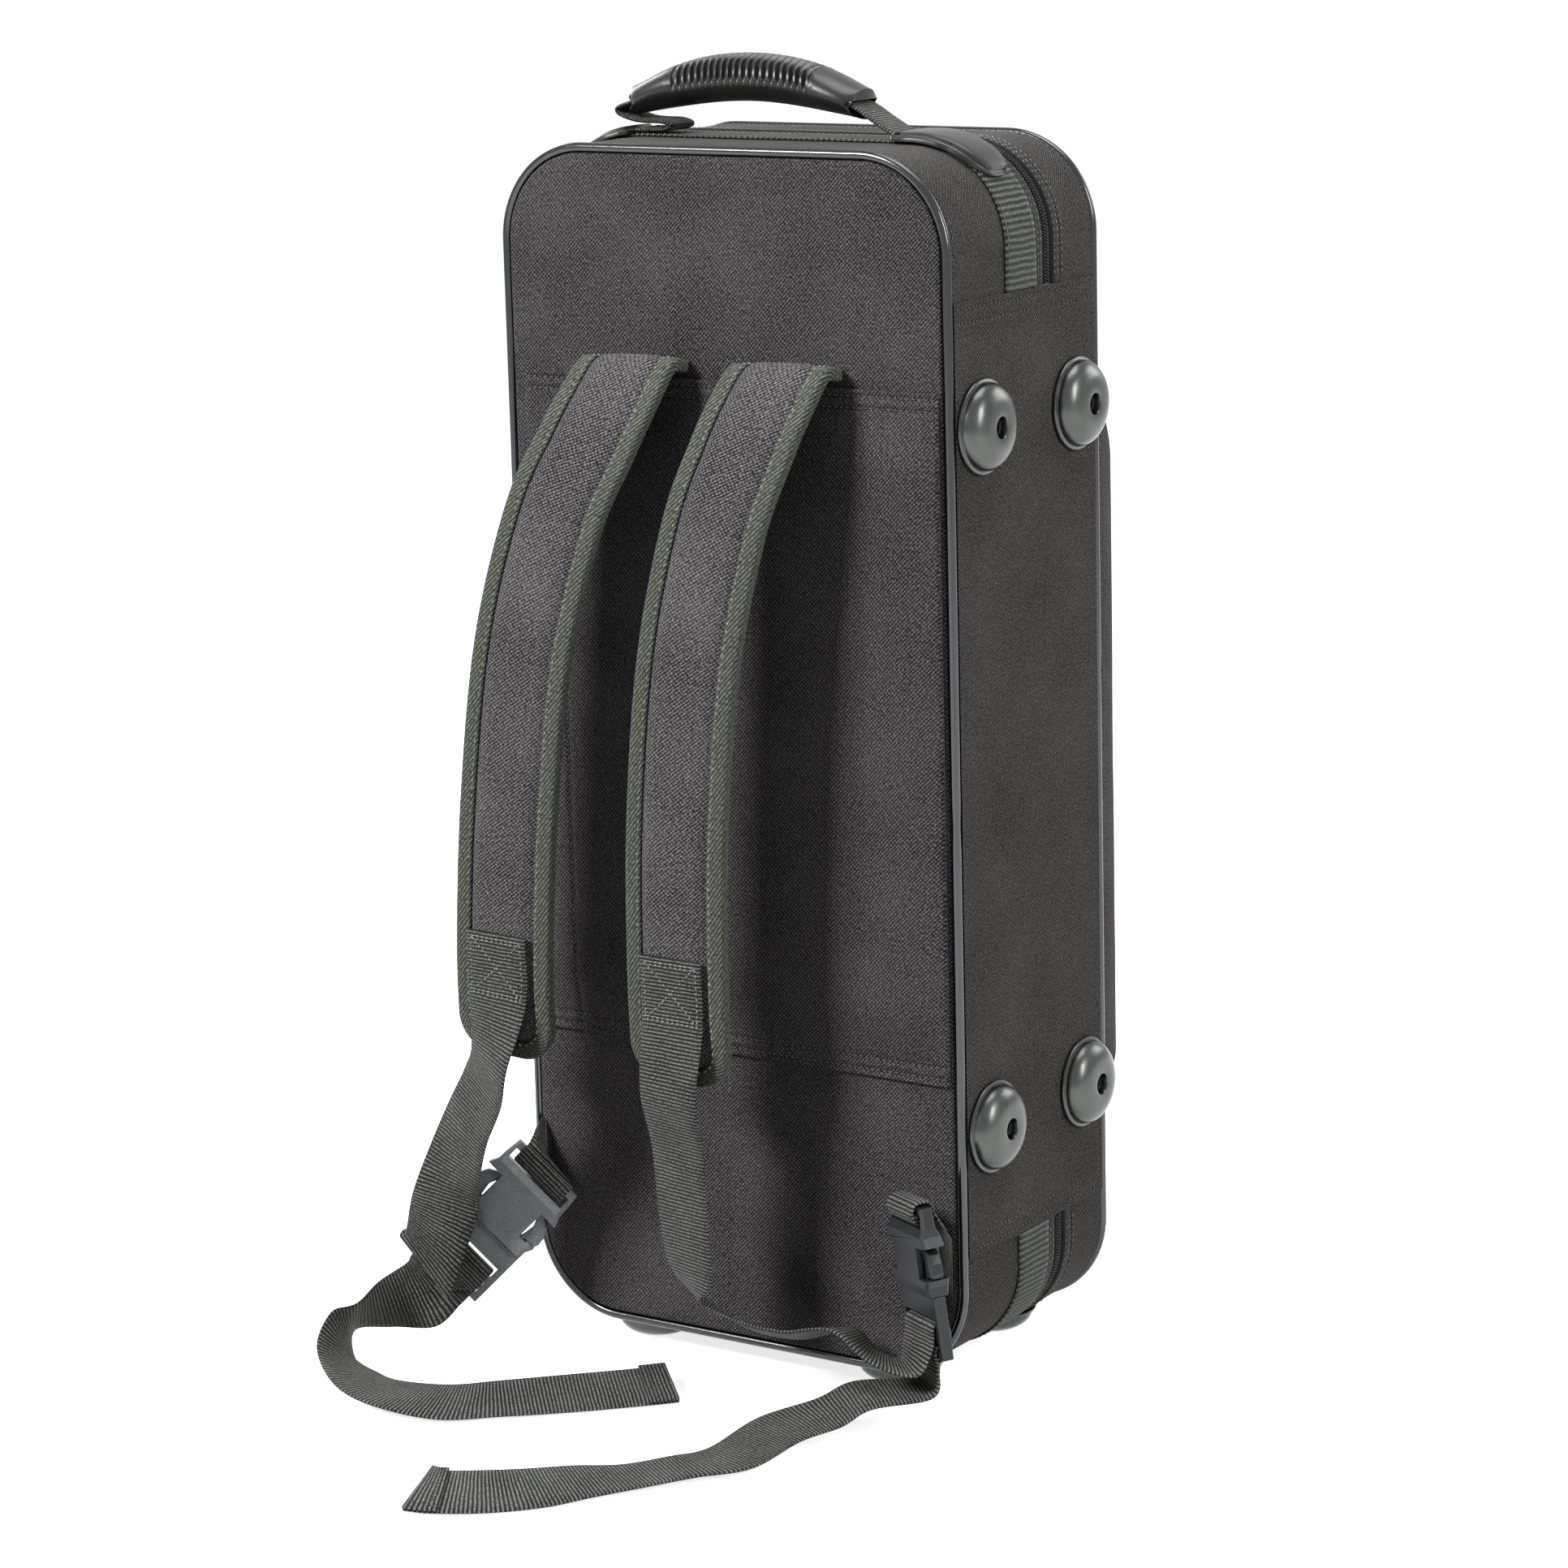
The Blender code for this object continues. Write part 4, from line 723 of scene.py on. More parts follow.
def fabric_body():
    """Covers, piping, gussets, the webbing band, and the zip's tapes and teeth."""
    case_cover("back_cloth", back_y, 1, "case_base", "back_cover")
    case_cover("front_cloth", front_y, -1, "lid", "front_cover")
    piping("back_piping_tube", back_y + 0.0025, "case_base", "back_piping", 0.300)
    piping("front_piping_tube", front_y - 0.0025, "lid", "front_piping", 0.358)

    # Profiles of (inset, y), from the back to the front
    t, half = 0.0015, 0.0006
    by_piping = ((t + 0.0012, 0.0048), (t, 0.0052), (t - 0.0002, 0.0075), (t - 0.0003, 0.012))
    base = [(inset, back_y + far) for inset, far in by_piping]
    base += [(t - 0.0002, back_y + 0.025), (t - 0.0002, -0.030), (t - 0.0001, -0.022),
             (t - 0.0001, band_y0 + 0.004), (t, 0.0), (t, band_y1)]
    lid = [(inset, front_y - far) for inset, far in by_piping]
    lid += [(t - 0.0002, 0.050), (t - 0.0004, 0.040), (t - 0.0007, tape_y1 + 0.0012),
            (t - 0.0002, tape_y1 + 0.0003), (t + 0.0008, tape_y1 + 0.0003)]
    band = [(2 * half, band_y0 + 0.0006), (half, band_y0), (0.0, band_y0 + 0.0006)]
    band += [(0.0, band_y0 + 0.0006 + (band_y1 - band_y0 - 0.0012) * k / 6) for k in range(1, 7)]
    band += [(half, band_y1), (2 * half, band_y1 - 0.0006)]
    # Tape and rolled edge either side of the coil
    end, start = split_y - 0.0002, split_y + 0.0002
    base_tape = [(inset, band_y1 + far) for inset, far in (
        (0.0027, 0.0003), (0.0010, 0.0003), (0.0007, 0.0012), (0.0007, 0.0040),
        (0.0008, 0.0062), (0.0013, 0.0070), (0.0024, 0.0074), (0.0026, 0.0085))]
    base_tape += [(0.0026, end), (0.0032, end)]
    lid_tape = [(0.0032, start), (0.0026, start)]
    lid_tape += [(inset, tape_y1 - far) for inset, far in (
        (0.0026, 0.0085), (0.0024, 0.0074), (0.0013, 0.0070), (0.0007, 0.0062),
        (0.0006, 0.0035), (0.0007, 0.0006), (0.0016, 0.0001), (0.0027, 0))]
    ends = (panel_z1 + 0.0005, panel_z0 - 0.0005)
    for name, node, profile, material, body, flat, seat, form in (
        ("base_gusset_cloth", "base_gusset", base, m_side, "case_base", (0.0815, 1.75),
         "base_shell", {"ripple": 0.0001}),
        ("lid_gusset_cloth", "lid_gusset", lid, m_side, "lid", (0.036, 1.75), "lid_shell",
         {"ripple": 0.0001}),
        ("webbing_band_cloth_strip", "webbing_band", band, m_band, "case_base", (0.031, 1.30),
         "base_gusset_cloth", {"ends": ends, "ring": True}),
        ("base_zip_tape_cloth", "zip_tape_base", base_tape, m_tape, "case_base",
         (0.0155, 1.30), "base_shell", {"ends": ends}),
        ("lid_zip_tape_cloth", "zip_tape_lid", lid_tape, m_tape, "lid", (0.0155, 1.30),
         "lid_shell", {"ends": ends}),
    ):
        made = wrap(name, profile, material, body, **form)
        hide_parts(node)

    # Coil teeth
    pitch = 0.0017
    spots, _ = rim(*ends, step=0.05, turns=30)
    normals = [Vector((s[2], 0, s[3])) for s in spots]
    for name, side, body in (("base_zip_coil", -1, "case_base"), ("lid_zip_coil", 1, "lid")):
        points = [on_rim(s, 0.0020, split_y + side * 0.0013) for s in spots]
        dashes = []
        for place, along, normal in dashes_on(points, normals, pitch)[:-1]:
            shift = along * (pitch / 2 if side > 0 else 0)
            dashes.append((place + shift, Vector((0, 1, 0)), normal))
        sew(name, dashes, body, m_tooth, long=0.0030, wide=0.0012, high=0.0011)


def hinge_panel():
    """One piece of fabric over both halves of the hinge side, hemmed at its head and foot."""
    t, seam_in, fold_half, hem_rows = 0.0012, 0.0052, 0.006, (0.0035, 0.0105)
    low_y, high_y, flat_from = back_y + seam_in, front_y - seam_in, 0.008
    ys = [low_y + (split_y - flat_from - back_y - seam_in) * k / 14 for k in range(15)]
    ys += [split_y - fold_half + 0.001 * k for k in range(13)]
    ys += [split_y + flat_from + (high_y - split_y - flat_from) * k / 8 for k in range(9)]
    near_hem = (0, 0.0004, 0.0015, 0.0024, 0.0030, 0.0035, 0.0040, 0.0046, 0.0060, 0.0094,
                0.0100, 0.0105, 0.0110, 0.0116, 0.0130, 0.0140, 0.0170)
    zs = hemmed(panel_z0, panel_z1, near_hem, 0.03, 25)

    def lift(y, z):
        end = min(z - panel_z0, panel_z1 - z)
        rise = 0.0 if end < 0.0125 else -0.0005 * min((end - 0.0125) / 0.002, 1)
        for row in hem_rows:
            rise -= 0.0007 * dip(end - row, 0.0007)
        edge = clamp(min(y - ys[0], ys[-1] - y) / 0.004)
        wave = 0.0002 * noise.noise(Vector((y * 30, z * 18, 5.1)))
        return (rise + abs(wave)) * edge - 0.0004 * (1 - edge)

    rows = [[Vector((half_w - t, y, zs[0])) for y in ys]]
    rows += [[Vector((half_w + lift(y, z), y, z)) for y in ys] for z in zs]
    rows.append([Vector((half_w - t, y, zs[-1])) for y in ys])
    us = [zs[0] - t] + zs + [zs[-1] + t]
    obj = surface("hinge_panel_cloth", rows, us, ys + [ys[-1]], m_side, smooth=60)
    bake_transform(obj)
    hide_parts("hinge_panel_base", "hinge_panel_lid")
    x = half_w - 0.0004
    for name, z, sign in (("foot", panel_z0, 1), ("head", panel_z1, -1)):
        for part, y0, y1, body in (("base", ys[0] + 0.002, split_y - fold_half, "case_base"),
                                   ("lid", split_y + fold_half, ys[-1] - 0.002, "lid")):
            dashes = []
            for off in hem_rows:
                dashes += line_dashes((x, y0, z + sign * off), (x, y1, z + sign * off), (1, 0, 0))
            sew("panel_%s_stitches_%s" % (name, part), dashes, body, long=0.0029, wide=0.0011,
                high=0.0006)


def feet():
    """Dome feet with a sunk screw: four on the hinge side and four under the case."""
    foot_r, hole_r, flat_r, seat_low, seat_high, end_foot_x = (
        0.0245, 0.0054, 0.0085, 0.135, 0.501, 0.078)
    dome = [(0, 0), (0.0240, 0), (foot_r, 0.0003), (foot_r, 0.0013), (0.0242, 0.0017),
            (0.0232, 0.0019), (0.0228, 0.0021)]
    for k in range(13):
        angle = math.pi / 2 * k / 12
        dome.append((flat_r + (0.0226 - flat_r) * math.cos(angle) ** 0.92,
                     0.0020 + 0.0097 * math.sin(angle) ** 0.96))
    dome += [(0.0065, 0.0117), (0.0058, 0.01155), (0.0055, 0.0111), (hole_r, 0.0060),
             (hole_r, 0.0034), (0.0, 0.0032)]
    screw = [(0, 0.0033), (0.0042, 0.0033), (0.0043, 0.0046), (0.0036, 0.0056),
             (0.0020, 0.0060), (0.0017, 0.0052), (0.0, 0.0050)]
    for part, y, body in (("base", back_y + 0.0050 + foot_r + 0.0005, "case_base"),
                          ("lid", split_y + foot_r + 0.0012, "lid")):
        for form, place, out in (
            ("side_foot_%s_lower", (half_w + gap, y, seat_low), (1, 0, 0)),
            ("side_foot_%s_upper", (half_w + gap, y, seat_high), (1, 0, 0)),
            ("end_foot_%s_left", (-end_foot_x, y, -gap), (0, 0, -1)),
            ("end_foot_%s_right", (end_foot_x, y, -gap), (0, 0, -1)),
        ):
            name = form % part
            turn = Vector((0, 0, 1)).rotation_difference(Vector(out)).to_matrix().to_4x4()
            matrix = Matrix.Translation(place) @ turn
            obj = revolve(name + "_dome", dome, 72, matrix, m_foot)
            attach(obj, body)
            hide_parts(name)
            obj = revolve(name + "_screw", screw, 28, matrix, m_steel)
            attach(obj, body)


def sleeve():
    """The panel that the straps tuck behind: flat hems, a soft swell, a fuller hinge side."""
    x0, x1 = -half_w + 0.0135, half_w - 0.0068
    z0, z1 = 0.163, case_h - 0.119
    seat, seam_x, seam_tall, hem_rows = back_y - gap, -0.1015, 0.30, (0.0035, 0.0095)
    near_hem = (0, 0.0004, 0.001, 0.0018, 0.0026, 0.0031, 0.0035, 0.0039, 0.0044, 0.0052,
                0.0065, 0.0078, 0.0086, 0.0091, 0.0095, 0.0099, 0.0104, 0.0112, 0.0125, 0.0150,
                0.019, 0.024, 0.030)
    near_seam = (0.0005, 0.0012, 0.0022, 0.004)
    zs = hemmed(z0, z1, near_hem, 0.036, 45)
    xs = [x0 + (x1 - x0) * (0.5 - 0.5 * math.cos(math.pi * k / 56)) for k in range(57)]
    xs = [x for x in xs if abs(x - seam_x) > 0.0045]
    xs = sorted(xs + [seam_x] + [seam_x + d for d in near_seam] + [seam_x - d for d in near_seam])
    rows = []
    for z in zs:
        end = min(z - z0, z1 - z)
        row = [Vector((x0, seat, z))]
        for x in xs:
            side = min(x - x0, x1 - x)
            swell = ease(clamp((end - 0.010) / 0.030))
            round_side = math.sin(clamp(side / 0.022) * math.pi / 2) ** 0.8
            full = 0.0024 + 0.0030 * swell * round_side
            full += 0.0013 * dip(x1 - 0.022 - x, 0.016) * swell
            if z < z0 + seam_tall:
                full -= 0.0014 * dip(x - seam_x, 0.0014)
            for off in hem_rows:
                full -= 0.0011 * dip(end - off, 0.0013)
            full += 0.0005 * noise.noise(Vector((x * 16, z * 7, 2.2))) * swell * round_side
            full *= min(side / 0.0012 + 0.25, 1)
            row.append(Vector((x, seat - full, z)))
        row.append(Vector((x1, seat, z)))
        rows.append(row)
    us = [row[0].z for row in rows]
    vs = [p.x for p in rows[0]] + [rows[0][-1].x]
    vs[0] -= 0.0016
    vs[-2] += 0.0016
    obj = surface("sleeve_cloth", rows, us, vs, m_back, smooth=60)
    # Faces of the sleeve turned up or down take the dark zip-tape cloth: painted shade along its
    # hem edges.
    obj.data.materials.append(m_tape)
    for face in obj.data.polygons:
        if abs(face.normal.z) > 0.7:
            face.material_index = 1
    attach(obj, "case_base")
    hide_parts("strap_sleeve")
    dashes = []
    y = seat - 0.0018
    for z, sign in ((z0, 1), (z1, -1)):
        for off in hem_rows:
            dashes += line_dashes((x0 + 0.002, y, z + sign * off), (x1 - 0.002, y, z + sign * off),
                                  (0, -1, 0))
    y = seat - 0.0046
    dashes += line_dashes((seam_x, y, z0 + 0.03), (seam_x, y, z0 + 0.29), (0, -1, 0))
    sew("sleeve_stitches", dashes, "case_base", long=0.0029, wide=0.0011, high=0.0007)


def pocket():
    """The soft front pocket, lofted and a little slack, with its zip and hems."""
    x0, z0, z1 = -half_w + 0.0075, 0.107, case_h - 0.117
    seat, deep, turns, long_steps, short_steps = front_y + gap, 0.035, 12, 18, 11

    def slack(p):
        return abs(noise.noise(Vector((p.x * 14, p.z * 11, 8.0))))

    def loop(depth):
        """The pocket's outline at a share of its depth: drawn in most at its head."""
        e = max((depth - 0.30) / 0.70, 0)
        drawn = 1 - math.sqrt(max(1 - e ** 2.4, 0))
        foot = (1 - math.sqrt(max(1 - (depth * 0.98) ** 2.6, 0))) * 0.98
        head = 1 - (max(1 - depth ** 1.5, 0)) ** 0.7
        left, low, high = x0 + 0.010 * drawn, z0 + 0.020 * foot, z1 - 0.052 * head
        y = seat + deep * depth
        corners = rounded(-left, low, high, 0.026 - 0.006 * drawn, turns)
        out = [Vector((x, y, z)) for x, z, _, _ in corners]
        full = []
        for i, p in enumerate(out):
            q = out[(i + 1) % len(out)]
            count = 1
            if i % (turns + 1) == turns:
                count = long_steps if abs(q.z - p.z) > abs(q.x - p.x) else short_steps
            full += [p.lerp(q, n / count) for n in range(count)]
        for p in full:
            p.y -= 0.0012 * depth * slack(p)
        return full

    rows = [loop(k / 12) for k in range(13)]
    face = rows[-1]
    middle = Vector((0, seat + deep, (z0 + z1) / 2 - 0.012))
    for shrink in (0.93, 0.84, 0.7, 0.5, 0.25):
        row = []
        for p in face:
            q = middle + (p - middle) * shrink
            q.y = seat + deep + 0.0004 - 0.0011 * slack(q)
            row.append(q)
        rows.append(row)
    us = lengths([row[0] for row in rows])
    vs = lengths(rows[0] + [rows[0][0]])
    obj = surface("pocket_cloth", rows, us, vs, m_back, ring=True, smooth=60)
    bm = bmesh.new()
    bm.from_mesh(obj.data)
    layer = bm.loops.layers.uv.active
    edge = [e for e in bm.edges if e.is_boundary and all(v.co.y > front_y + 0.03 for v in e.verts)]
    bmesh.ops.contextual_create(bm, geom=edge)
    bm.normal_update()
    for f in bm.faces:
        if abs(f.normal.y) > 0.6:
            for item in f.loops:
                item[layer].uv = (item.vert.co.x, item.vert.co.z)
    bm.to_mesh(obj.data)
    bm.free()
    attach(obj, "lid")
    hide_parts("front_pocket")

    zip_z, zip_len, half, pitch = z0 + 0.330, 0.208, 0.012, 0.0017
    y = seat + deep + gap
    for name, sign in (("low", -1), ("high", 1)):
        profile = [(sign * 0.0004, 0.0006), (sign * 0.0040, 0.0006), (sign * 0.0050, 0.0011),
                   (sign * 0.0060, 0.0012), (sign * half, 0.0010), (sign * half, 0.0)]
        us = [zip_len * k / 24 for k in range(25)]
        rows = [[Vector((u - zip_len / 2, y + up, zip_z + off)) for off, up in profile]
                for u in us]
        part = surface("pocket_zip_tape_" + name, rows, us, profile_runs(profile), m_tape)
        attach(part, "lid")
        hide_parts("pocket_zip")
        dashes = []
        for off in (0.0075, 0.0105):
            dashes += line_dashes((-0.102, y + 0.0012, zip_z + sign * off),
                                  (0.102, y + 0.0012, zip_z + sign * off), (0, 1, 0))
        sew("pocket_zip_stitches_" + name, dashes, "lid")
        teeth = []
        for k in range(118):
            x = -0.1 + pitch * (k + (0.5 if sign > 0 else 0))
            teeth.append((Vector((x, y + 0.0007, zip_z + sign * 0.0010)), Vector((0, 0, 1)),
                          Vector((0, 1, 0))))
        sew("pocket_zip_coil_" + name, teeth, "lid", m_tooth, long=0.0026, wide=0.0012, high=0.0009)


def seams():
    """Stitch rows that go round the case."""
    ends = (panel_z1 + 0.004, panel_z0 - 0.004)
    light = {"long": 0.0024, "wide": 0.0006, "high": 0.0003}
    for name, body, lines, sizes in (
        ("band_stitches", "case_base",
         ((-0.00005, band_y0 + 0.0028), (-0.00005, band_y1 - 0.0028)),
         {"long": 0.0022, "wide": 0.0005, "high": 0.00025}),
        ("base_tape_stitches", "case_base",
         ((0.0006, band_y1 + 0.0020), (0.0007, band_y1 + 0.0052)), light),
        ("lid_tape_stitches", "lid", ((0.0006, tape_y1 - 0.0055), (0.0006, tape_y1 - 0.0022),
                                      (0.0008, tape_y1 + 0.0022)), light),
    ):
        dashes = [dash for inset, y in lines for dash in rim_dashes(inset, y, ends)]
        sew(name, dashes, body, m_thread_light, **sizes)
    for name, body, y in (("back_seam_stitches", "case_base", back_y + 0.0072),
                          ("front_seam_stitches", "lid", front_y - 0.0072)):
        sew(name, rim_dashes(0.0012, y), body, long=0.0022, wide=0.0006)


# ---------------------------------------------------------------- shoulder straps

# Places as shares of the case's width, depth and height
pad_profile_shares = ((-0.5130, 0.8236), (-0.590, 0.8246), (-0.672, 0.8010), (-0.742, 0.7640),
                      (-0.815, 0.7050), (-0.875, 0.5980), (-0.900, 0.4650), (-0.897, 0.3400),
                      (-0.868, 0.2520))
pad_x_shares = {
    "left": (-0.178, -0.179, -0.190, -0.220, -0.272, -0.330, -0.368, -0.392, -0.404),
    "right": (0.163, 0.162, 0.150, 0.126, 0.090, 0.048, 0.022, 0.012, 0.006),
}
pad_across = Vector((1, 0, 0.02))
webbing_routes_shares = {
    "left": ((-0.394, -0.9405, 0.3600), (-0.398, -0.937, 0.3060), (-0.412, -0.965, 0.2550),
             (-0.4410, -0.9389, 0.2253), (-0.4858, -0.9360, 0.1893), (-0.5235, -0.9379, 0.1487),
             (-0.5451, -0.9429, 0.1169)),
    "right": ((0.010, -0.9375, 0.3600), (0.009, -0.931, 0.3060), (0.004, -0.960, 0.2450),
              (0.002, -0.903, 0.1950), (0.004, -0.887, 0.1350), (0.012, -0.870, 0.0900),
              (0.0182, -0.8400, 0.0664), (0.1000, -0.8000, 0.0477), (0.1945, -0.7533, 0.0422),
              (0.2909, -0.7000, 0.0500)),
}
webbing_acrosses = {
    "left": ((1, 0, 0), (1, 0, 0), (34, -14, 6), (35, -12, 6), (37, -9, 0), (38, -1, -1),
             (32, 11, -18)),
    "right": ((1, 0, 0), (1, 0, 0), (38, -4, -3), (38, -6, -4), (36, -8, -6), (34, -10, -13),
              (26, -24, 0), (10, -28, 14), (8, -28, 13), (12, -28, 10)),
}
crease_edges_shares = {
    "left": (((-0.6168, -1.0079, 0.0940), (-0.5289, -0.9588, 0.0428)),
             ((-0.6318, -1.0105, 0.0891), (-0.5439, -0.9613, 0.0379)),
             ((-0.6266, -0.9808, 0.0923), (-0.5388, -0.9317, 0.0411))),
    "right": (),
}
fold_edges_shares = {
    "left": (),
    "right": (((-5.1, 2.6, 0.3), (-0.2, 5.1, -0.15)), ((-3.0, 1.54, 0.7), (2.7, 2.6, 0.9))),
}
tail_drop_share, tail_lift_share, bar_wrap_share = 2.7, 0.3, 0.78
tail_routes_shares = {
    "left": ((-0.6513, -1.0653, 0.0481), (-0.6900, -1.1496, 0.0403), (-0.6880, -1.2317, 0.0285),
             (-0.6392, -1.3284, 0.0170), (-0.5329, -1.4270, 0.0100), (-0.3804, -1.4105, 0.0082),
             (-0.2824, -1.2714, 0.0082), (-0.1895, -1.1187, 0.0082), (-0.0989, -0.9586, 0.0082),
             (-0.0464, -0.8567, 0.0082)),
    "right": ((0.3836, -0.8400, 0.0300), (0.3440, -0.9450, 0.0200),
              (0.2805, -1.0792, 0.0110), (0.2665, -1.3390, 0.0060), (0.2086, -1.4750, 0.0045),
              (0.1555, -1.6213, 0.0042), (0.0988, -1.7556, 0.0058), (0.0474, -1.9009, 0.0074),
              (-0.0154, -2.0162, 0.0084), (-0.0913, -2.0995, 0.0084), (-0.1309, -2.1155, 0.0084)),
}
tail_acrosses = {
    "left": ((-9, -30, 22), (9, -36, 11), (13, -36, 5), (14, -35, 5), (18, -33, 1), (21, -32, -5),
             (20, -31, -6), (20, -31, -7), (20, -31, -7), (20, -31, -7)),
    "right": ((-27, 27, 2), (-25, 28, 4), (-24, 29, 4), (-22, 31, 1), (-21, 32, -2),
              (-21, 32, -2), (-21, 32, 2), (-21, 31, 6), (-20, 31, 8), (-20, 31, 8),
              (-20, 31, 8)),
}
buckle_places = {
    "left": ((-0.5073, -0.7793, 0.0886), (-0.550, -0.483, -0.681), (0.696, 0.290, -0.654)),
    "right": ((0.458, -0.660, 0.0945), (0.139, 0.0, -0.990), (0.805, -0.576, 0.113)),
}
anchor_edges_shares = {
    "left": (((-0.4730, -0.509, 0.1720), (-0.4730, -0.509, 0.1160)),
             ((-0.4690, -0.560, 0.1670), (-0.4360, -0.540, 0.1165))),
    "right": (((0.4730, -0.509, 0.0700), (0.4730, -0.509, 0.1280)),
              ((0.4091, -0.5455, 0.1468), (0.5090, -0.6766, 0.1528))),
}


def in_case(shares):
    """A place from shares of the case's width, depth and height."""
    return Vector((shares[0] * case_w, shares[1] * case_d, shares[2] * case_h))


def frame_at(frames, runs, run):
    """The frame at a run along frames, between its two neighbours."""
    run = min(max(run, 0), runs[-1])
    for i in range(len(runs) - 1):
        if run <= runs[i + 1]:
            t = (run - runs[i]) / (runs[i + 1] - runs[i])
            place, *vectors = [frames[i][k].lerp(frames[i + 1][k], t) for k in range(4)]
            return (place, *(vector.normalized() for vector in vectors))
    return frames[-1]


def strap_pad(side):
    """The padded strap and its bound edge."""
    shares = [(x, y, z) for x, (y, z) in zip(pad_x_shares[side], pad_profile_shares)]
    route = smooth_route([in_case(s) for s in shares], 8)
    frames = frames_along(route, [pad_across] * len(route))
    runs = lengths(route)
    total = runs[-1]
    inset = binding_t + gap
    inner = strap_w / 2 - strap_end_r

    def half_width(run):
        left = max(0.0, strap_end_r - (total - run))
        return inner + math.sqrt(max((strap_end_r - inset) ** 2 - left ** 2, 0))

    def edge_distance(x, run):
        from_end = total - run
        if from_end >= strap_end_r:
            return strap_w / 2 - abs(x)
        if abs(x) <= inner:
            return from_end
        return strap_end_r - math.hypot(abs(x) - inner, strap_end_r - from_end)

    def half_thick(x, run):
        share = clamp((edge_distance(x, run) - binding_w + 0.0006) / 0.0085)
        tall = (strap_edge_t + (strap_t - strap_edge_t) * math.sin(share * math.pi / 2)) / 2
        return tall + 0.0002 * noise.noise(Vector((x * 60, run * 25, 4.0))) * share

    def at(spot, deep, up):
        """A place some way in from the pad's edge and above its middle, and its normal."""
        (x, run), (toward_x, toward_run) = spot
        place, across, _, normal = frame_at(frames, runs, run + toward_run * deep)
        return place + across * (x + toward_x * deep) + normal * up, normal

    stops = [r for r in runs if r < total - strap_end_r]
    for k in range(11):
        angle = math.pi / 2 * k / 10
        stops.append(total - strap_end_r + (strap_end_r - inset) * math.sin(angle))
    count = 26
    rows = []
    for run in stops:
        place, across, _, normal = frame_at(frames, runs, run)
        reach = half_width(run)
        top = []
        under = []
        for k in range(count + 1):
            c = 2 * k / count - 1
            x = reach * (c * 0.55 + 0.45 * math.sin(c * math.pi / 2))
            thick = half_thick(x, run)
            top.append(place + across * x + normal * thick)
            under.append(place + across * x - normal * thick)
        rows.append(top + under[::-1])
    vs = [strap_w * k / count for k in range(count + 1)]
    vs = vs + [strap_w + v for v in vs] + [2 * strap_w]
    pad = surface("strap_pad_" + side, rows, stops, vs, m_strap, ring=True, caps=True, smooth=60)
    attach(pad, "case_base")
    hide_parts("shoulder_pad_" + side)

    spots = [((-strap_w / 2, run), (1, 0)) for run in stops if run < total - strap_end_r]
    for k in range(13):
        angle = math.pi / 2 * k / 12
        spots.append((
            (-inner - strap_end_r * math.cos(angle), total - strap_end_r * (1 - math.sin(angle))),
            (math.cos(angle), -math.sin(angle)),
        ))
    spots.append(((0, total), (0, -1)))
    spots += [((-x, run), (-u, w)) for (x, run), (u, w) in reversed(spots[:-1])]
    lip = strap_edge_t / 2 + 0.0006
    out = lip + binding_t
    section = [(binding_w, lip + 0.0001), (binding_w, lip + 0.0007), (binding_w - 0.0006, out),
               (binding_w * 0.6, out + 0.0001), (binding_w * 0.3, out), (0.0014, out - 0.0001),
               (0.0004, out * 0.75), (0.0, out * 0.4), (0.0, 0.0)]
    section += [(a, -b) for a, b in reversed(section[:-1])]
    rows = [[at(spot, deep, up)[0] for deep, up in section] for spot in spots]
    us = lengths([row[6] for row in rows])
    tape = surface("strap_edge_" + side, rows, us, profile_runs(section), m_bind, smooth=60)
    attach(tape, "case_base")
    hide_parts("strap_binding_" + side)
    dashes = []
    deep = binding_w - 0.0016
    for up_sign in (1, -1):
        found = [at(spot, deep, up_sign * (out + 0.0001)) for spot in spots]
        dashes += dashes_on([place for place, _ in found],
                            [normal * up_sign for _, normal in found], 0.0042)
    sew("strap_edge_stitches_" + side, dashes, "case_base", m_thread_light, long=0.0030,
        wide=0.0012, high=0.0008)


def threaded(matrix, spots):
    """Places and widths on a buckle's middle line, from (distance ahead, height) on it."""
    places = [matrix @ Vector((0, -ahead, z)) for ahead, z in spots]
    return places, [matrix.to_3x3() @ Vector((1, 0, 0))] * len(places)


def pairs_about(points, widths):
    """The two edge points of a webbing at each of its middle points."""
    pairs = []
    for place, across, _, _ in frames_along(points, widths):
        side = across * (webbing_w / 2)
        pairs.append((place - side, place + side))
    return pairs


def smoothed_edges(pairs, steps):
    """The two smoothed edges of a strap and the way along it, step by step."""
    first = smooth_route([pair[0] for pair in pairs], steps)
    second = smooth_route([pair[1] for pair in pairs], steps)
    for i, (a, b) in enumerate(zip(first, second)):
        ahead, behind = min(i + 1, len(first) - 1), max(i - 1, 0)
        along = (first[ahead] + second[ahead] - first[behind] - second[behind]).normalized()
        yield a, b, along


def pair_frames(pairs, steps):
    """Frames along a strap between two smoothed edges; across is longer where it lies askew."""
    out = []
    for a, b, along in smoothed_edges(pairs, steps):
        across = b - a
        out.append(((a + b) / 2, across / webbing_w, along, across.cross(along).normalized()))
    return out


def buckle_frame(side):
    """The buckle's own axes, with its mouth at the middle and its housing upward."""
    mouth, down, width = buckle_places[side]
    z_axis = -Vector(down).normalized()
    x_axis = Vector(width)
    x_axis -= z_axis * x_axis.dot(z_axis)
    x_axis.normalize()
    y_axis = z_axis.cross(x_axis)
    turn = Matrix((x_axis, y_axis, z_axis)).transposed().to_4x4()
    return Matrix.Translation(in_case(mouth)) @ turn


